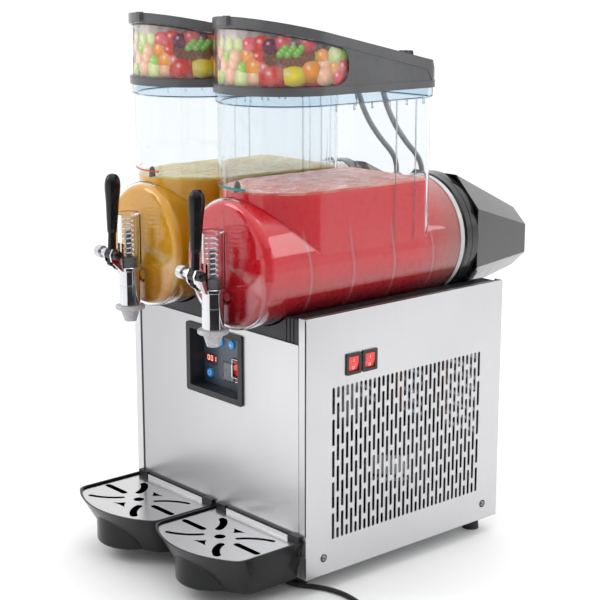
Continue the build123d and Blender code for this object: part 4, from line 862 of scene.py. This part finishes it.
# ---- controls
def make_display():
    """Seven-segment figures in the display window."""
    segments = {"0": "abcdef", "1": "bc"}
    flat, upright = (1.7, 0.55), (0.55, 1.75)
    places = {"a": (0, 3.6, flat), "b": (2, 1.8, upright), "c": (2, -1.8, upright), "d": (0, -3.6, flat),
              "e": (-2, -1.8, upright), "f": (-2, 1.8, upright)}
    bm = bmesh.new()
    for index, figure in enumerate("001"):
        for name in segments[figure]:
            dx, dz, (wide, tall) = places[name]
            x, z = -46.6 + 7.6 * index + dx, 293.0 + dz
            soft_block(bm, (x - wide, 24.3, z - tall), (x + wide, 24.9, z + tall), 0.18)
    piece("display_figures", bm, "digit", "cabinet")
    bm = bmesh.new()
    soft_block(bm, (-52.5, 24.7, 286.5), (-27.0, 25.2, 299.5), 0.2)
    piece("display_window", bm, "display", "cabinet")


def make_key_marks():
    """Raised generic signs: up, down and a ring."""
    front, back = 20.95, 21.5
    for name, x, z, turn in (("up", 10, 323, 1), ("down", -16, 323, -1)):
        bm = bmesh.new()
        corners = [(-2.8, -2.0 * turn), (2.8, -2.0 * turn), (0, 2.8 * turn)]
        skin(bm, [[spot(x + cx, y, z + cz) for cx, cz in corners] for y in (front, back)], capped=True)
        piece("key_sign_" + name, bm, "mark", "key_" + name)
    bm = bmesh.new()
    section = [(-0.1, 2.7), (0.5, 2.7), (0.5, 3.7), (-0.1, 3.7)]
    skin(bm, [[spot(-41 + r * math.cos(angle), back - d, 271 + r * math.sin(angle)) for d, r in section]
              for angle in angles(40)])
    piece("key_sign_set", bm, "mark", "key_set")


def make_rocker_marks():
    """A bar on one half of each side rocker and a ring on the other, tipped as the rocker rests."""
    pivot_x, pivot_z, tilt = 198, 323, math.radians(7)
    section = [(0, 1.5), (0, 2.3), (0.8, 2.3), (0.8, 1.5)]
    for name, y in (("front", 86.5), ("rear", 117.5)):
        bm = bmesh.new()
        soft_block(bm, (200.55, y - 0.5, 326.0), (201.35, y + 0.5, 330.5), 0.15)
        skin(bm, [[spot(201.3 - d, y + r * math.cos(angle), 317 + r * math.sin(angle)) for d, r in section]
                  for angle in angles(32)])
        pivot = spot(pivot_x, y, pivot_z)
        lean = Matrix.Translation(pivot) @ Matrix.Rotation(tilt, 4, "Y") @ Matrix.Translation(-pivot)
        bmesh.ops.transform(bm, matrix=lean, verts=bm.verts)
        piece("rocker_signs_" + name, bm, "mark", "side_rocker_" + name)


def make_compressor_label():
    """Blank rating plate on the compressor's side."""
    bm = bmesh.new()
    pot_x, pot_y, inner, outer = 88, 270, 72.1, 72.5
    section = [(inner, 104), (outer, 104), (outer, 144), (inner, 144)]
    skin(bm, [[spot(*polar(r, angle, pot_x, pot_y), z) for r, z in section]
              for angle in angles(16, math.radians(-66), math.radians(44))], capped=True)
    return piece("rating_plate", bm, "mark", "cabinet")


def make_louvre_hoods():
    """Pressed hoods over the rear louvres: they shed drips and hide the inside."""
    bm = bmesh.new()
    outer = [(0.05, 6.0), (3.2, 5.0), (5.4, 2.0), (6.2, -2.0), (6.4, -6.0)]
    inner = [(5.6, -6.0), (5.4, -2.0), (4.7, 1.5), (2.8, 4.2), (0.05, 5.0)]
    half = 47
    for z in range(150, 287, 17):
        for x in (-112, 0, 112):
            rings = []
            for step in range(13):
                across = -1 + 2 * step / 12
                swell = max(0.02, 1 - abs(across) ** 6)
                rings.append([spot(x + half * across, REAR_Y + 0.05 + reach * swell, z + rise)
                              for reach, rise in outer + inner])
            skin(bm, rings, capped=True)
    return piece("louvre_hoods", bm, "front", "cabinet")


def make_painted_gap_shade():
    """Black strips of painted shade in the seams: one along the front sheet's left edge, one at the right
    corner. Both leave a gap where the tray brackets cross."""
    bm = bmesh.new()
    low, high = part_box("tray_brackets")
    # painted shade: dark strips stand where the seams' gaps lie in shade
    for near, far, top in ((-184.9, -181.0, 357), (197.6, 199.9, 396)):
        for start, stop in ((28, low.z / MM - 0.5), (high.z / MM + 0.5, top)):
            soft_block(bm, (near, -0.55, start), (far, -0.02, stop), 0.2)
    return piece("painted_gap_shade", bm, "rubber", "cabinet")


def make_screw_washers():
    """Thin black washers under the side panels' screws."""
    bm = bmesh.new()
    profile = [(0.02, 5.8), (0.4, 5.8), (0.55, 5.6), (0.55, 4.65), (0.02, 4.65)]
    for way in (-1, 1):
        for y in (33, 361):
            lathe(bm, profile, spot(HALF_WIDTH * way, y, 50), (way, 0, 0), 32)
    return piece("screw_washers", bm, "rubber", "cabinet")


# ---- cords
CORD_POINTS = [
    (-40, 424.1, 62), (-40, 446, 62), (-38, 469, 54), (-31, 491, 37), (-16, 511, 18), (8, 523, 5),
    (34, 524, 3.5), (58, 509, 3.5), (73, 479, 3.5), (76, 437, 3.5), (69, 388, 3.5), (70, 336, 3.5),
    (81, 284, 3.5), (85, 231, 3.5), (80, 180, 3.5), (84, 131, 3.5), (92, 90, 3.5), (100, 56, 3.5),
    (108, 33, 3.5), (124, 17, 3.5), (146, 11, 3.5), (167, 16, 3.5), (186, 31, 3.5), (210, 41, 3.5),
    (238, 44, 3.5), (267, 39, 3.5)]
CORD_DIAMETER = 7.0
COIL_CENTRE = (300.0, -8.0)
COIL_STEPS = 16
PLUG_Y = COIL_CENTRE[1] - 38.5


def eased(value):
    """Smooth step from nought to one."""
    value = min(1.0, max(0.0, value))
    return value * value * (3 - 2 * value)


def coil_points():
    """Put-away turns: outer and inner turn on the worktop, then inner and outer on top of them."""
    first = math.radians(98)
    sweep = 3 + 188 / 360
    points = []
    for step in range(int(sweep * COIL_STEPS) + 1):
        turn = step / COIL_STEPS
        inward = eased((turn - 0.75) / 0.3) - eased((turn - 2.6) / 0.3)
        radius = 42.2 - 7.4 * inward
        z = 3.5 + 7.1 * eased((turn - 1.75) / 0.35)
        angle = first - math.tau * turn
        points.append((*polar(radius, angle, *COIL_CENTRE), z))
    return points


def smooth_curve(name, points, radius):
    """NURBS spline with the given control points, in metres."""
    data = bpy.data.curves.new(name, "CURVE")
    data.dimensions = "3D"
    spline = data.splines.new("NURBS")
    spline.points.add(len(points) - 1)
    for place, control in zip(points, spline.points):
        control.co = (*spot(*place), 1.0)
    spline.order_u = 3
    spline.use_endpoint_u = True
    spline.resolution_u = 10
    data.bevel_depth = radius * MM
    data.bevel_resolution = 5
    data.use_fill_caps = True
    return add_object(name, data)


def make_plug():
    """Moulded plug with grip ribs and a ribbed strain relief; its blades are a piece of their own."""
    bm = bmesh.new()
    y = PLUG_Y
    relief = []
    for index in range(7):
        at, radius = index * 2.6, 4.7 + 0.4 * index
        relief += [(at, radius), (at + 1.5, radius), (at + 1.8, radius - 0.9), (at + 2.4, radius - 0.9)]
    lathe(bm, relief + [(19.5, 7.6)], spot(280, y, 9.2), (-1, 0, 0))
    soft_block(bm, (236, y - 11.5, 0.4), (263, y + 11.5, 19.4), 4.2)
    for x in (242, 247, 252, 257):
        soft_block(bm, (x - 1.1, y - 11.9, 3.5), (x + 1.1, y + 11.9, 16.5), 0.9)
    body = piece("mains_plug", bm, "rubber", "cabinet")
    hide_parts("power_plug")
    bm = bmesh.new()
    for way in (-1, 1):
        soft_block(bm, (218, y + way * 6 - 0.8, 7.6), (237, y + way * 6 + 0.8, 13.6), 0.6)
    lathe(bm, [(0, 2.3), (17, 2.3), (20, 1.8), (21, 0.8)], spot(237, y, 4.9), (-1, 0, 0), 24)
    blades = piece("plug_blades", bm, "brass", "cabinet")
    return [body, blades]


def make_power_cord():
    """Mains cord from the gland round to the coil beside the machine, with its plug."""
    route = CORD_POINTS + coil_points() + [(291, PLUG_Y - 3.6, 10.4), (279, PLUG_Y, 9.2)]
    cord = smooth_curve("mains_cord", route, CORD_DIAMETER / 2)
    cord.data.materials.append(LOOKS["rubber"])
    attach(cord, "cabinet")
    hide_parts("power_cord", "cord_coil")
    make_plug()


def resampled(path, step):
    """Points a fixed step apart along a polyline."""
    made, carry = [path[0]], 0.0
    for a, b in zip(path, path[1:]):
        length = (b - a).length
        if length < 1e-9:
            continue
        place = step - carry
        while place <= length:
            made.append(a.lerp(b, place / length))
            place += step
        carry = length - (place - step)
    return made


LEAD_X, LEAD_RADIUS = 28.0, 4.5
# The conduit's rings: how deep, how far apart, and how finely they are drawn along its length.
LEAD_WAVE, LEAD_PITCH, LEAD_STEP = 0.35, 3.2, 0.8


def lead_points(x):
    """Bends of one lamp conduit, from the lid down to the deck."""
    return [(x, 262.1, 708), (x, 282, 708), (x, 299, 687), (x, 311, 656), (x, 330, 623), (x, 356, 593),
            (x, 379, 573), (x, 392, 553), (x, 392, 536.3)]


def make_lamp_lead(side):
    """Corrugated conduit: a ringed tube along the points of its own smooth spline."""
    guide = smooth_curve("lead_guide_" + side, lead_points(math.copysign(LEAD_X, BOWL_X[side])), 0.0)
    bpy.context.view_layer.update()
    line = bpy.data.meshes.new_from_object(guide)
    fine = resampled([vert.co.copy() for vert in line.vertices], LEAD_STEP * MM)
    bpy.data.objects.remove(guide)
    bpy.data.meshes.remove(line)
    bm = bmesh.new()
    rings = []
    across = Vector((1, 0, 0))
    for index, point in enumerate(fine):
        ahead = fine[min(index + 1, len(fine) - 1)] - fine[max(index - 1, 0)]
        up = across.cross(ahead).normalized()
        wave = math.cos(math.tau * index * LEAD_STEP / LEAD_PITCH)
        radius = (LEAD_RADIUS - LEAD_WAVE + LEAD_WAVE * wave) * MM
        rings.append([point + across * radius * math.cos(angle) + up * radius * math.sin(angle)
                      for angle in angles(28)[:-1]])
    skin(bm, rings, capped=True)
    made = piece("lamp_conduit_" + side, bm, "lead", "lid_" + side, sharp=180)
    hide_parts("lamp_lead_" + side)


def make_gland_ribs():
    """Ribs on the gland's tapered strain relief."""
    bm = bmesh.new()
    profile = []
    for index in range(6):
        at, radius = 3 + index * 3.4, 7.3 - 0.4 * index
        profile += [(at, radius - 0.4), (at + 0.4, radius + 0.5), (at + 1.8, radius + 0.35),
                    (at + 2.2, radius - 0.7)]
    lathe(bm, profile, spot(-40, 398, 62), (0, 1, 0))
    return piece("gland_ribs", bm, "rubber", "cabinet")


# ---- build the detail
for side in SIDES:
    for make in (make_froth, make_tank_ribs, make_fill_marks, make_level_pin, make_o_rings,
                 make_lid_picture, make_lid_lamp, make_lid_knob, make_lamp_lead):
        make(side)
for make in (make_display, make_key_marks, make_rocker_marks, make_compressor_label, make_louvre_hoods,
             make_painted_gap_shade, make_screw_washers, make_gland_ribs, make_power_cord):
    make()


# ---- floor, light and camera
def make_floor(size=70.0):
    """White paper that runs on past every edge of the picture."""
    bm = bmesh.new()
    skin(bm, [[Vector((-size, y, 0)), Vector((size, y, 0))] for y in (-size, size)], closed=False)
    floor = add_mesh("floor", bm)
    look = Look("floor_paper", (0.93, 0.93, 0.93), 0.6, Specular_IOR_Level=0.15)
    look.mottle(3, 4, 0.4, 0.7, 0.3, (0.91, 0.91, 0.915))
    look.roughen(look.noise(200, 3), 0.5, 0.7)
    floor.data.materials.append(look.material)
    floor.location.z = -0.0002


def make_flag(reach=1.25, top=1.05):
    """Dark curtain on the camera's side, seen only in reflections: it gives chrome its dark band."""
    bm = bmesh.new()
    skin(bm, [[Vector((*polar(reach, angle, 0.0, -0.25), z)) for z in (0.0, top)]
              for angle in angles(24, math.radians(-68), math.radians(96))], closed=False)
    flag = add_mesh("flag", bm)
    flag.data.materials.append(Look("flag_cloth", (0.006, 0.006, 0.007), 0.9).material)
    for ray in ("camera", "diffuse", "transmission", "shadow", "volume_scatter"):
        setattr(flag, "visible_" + ray, False)


def aim(made, place, target):
    made.location = place
    made.rotation_euler = (Vector(target) - Vector(place)).to_track_quat("-Z", "Y").to_euler()


def make_lamp(name, place, target, size, watts):
    data = bpy.data.lights.new(name, "AREA")
    data.shape = "RECTANGLE"
    data.size, data.size_y = size
    data.energy = watts
    aim(add_object(name, data), place, target)


def make_world():
    """White studio: bright behind the object and overhead, a little dimmer on the camera's side."""
    world = bpy.data.worlds.new("studio")
    world.use_nodes = True
    tree = world.node_tree
    place = add_node(tree, "TexCoord").outputs["Generated"]
    dot = add_node(tree, "VectorMath", {"operation": "DOT_PRODUCT"}, i0=place, i1=(-0.72, 0.62, 0.25))
    level = add_node(tree, "MapRange", Value=dot.outputs["Value"], From_Min=-0.7, From_Max=0.5,
                     To_Min=0.62, To_Max=1.08)
    height = add_node(tree, "SeparateXYZ", i0=place).outputs[2]
    zenith = add_node(tree, "MapRange", Value=height, From_Min=0.45, From_Max=0.9, To_Max=0.5)
    total = add_node(tree, "Math", i0=level.outputs[0], i1=zenith.outputs[0])
    background = tree.nodes["Background"]
    background.inputs["Color"].default_value = (1, 1, 1, 1)
    tree.links.new(total.outputs[0], background.inputs["Strength"])
    bpy.context.scene.world = world


CAMERA_PLACE = (1.6502, -1.4518, 0.8664)
CAMERA_TARGET = (0.0809, -0.0842, 0.3914)
CAMERA_LENS = 89.37


def make_camera():
    data = bpy.data.cameras.new("camera")
    data.lens = CAMERA_LENS
    camera = add_object("camera", data)
    aim(camera, CAMERA_PLACE, CAMERA_TARGET)
    bpy.context.scene.camera = camera


make_floor()
make_world()
make_flag()
make_lamp("key", (-1.5, -1.9, 1.9), (0, 0, 0.4), (1.2, 1.2), 15)
make_lamp("side", (2.0, 1.6, 1.6), (0, 0, 0.45), (0.7, 1.4), 8)
make_lamp("top", (0.1, 0.4, 2.4), (0, 0, 0.4), (1.4, 1.2), 9)
make_camera()
bpy.context.scene.view_settings.view_transform = "Standard"
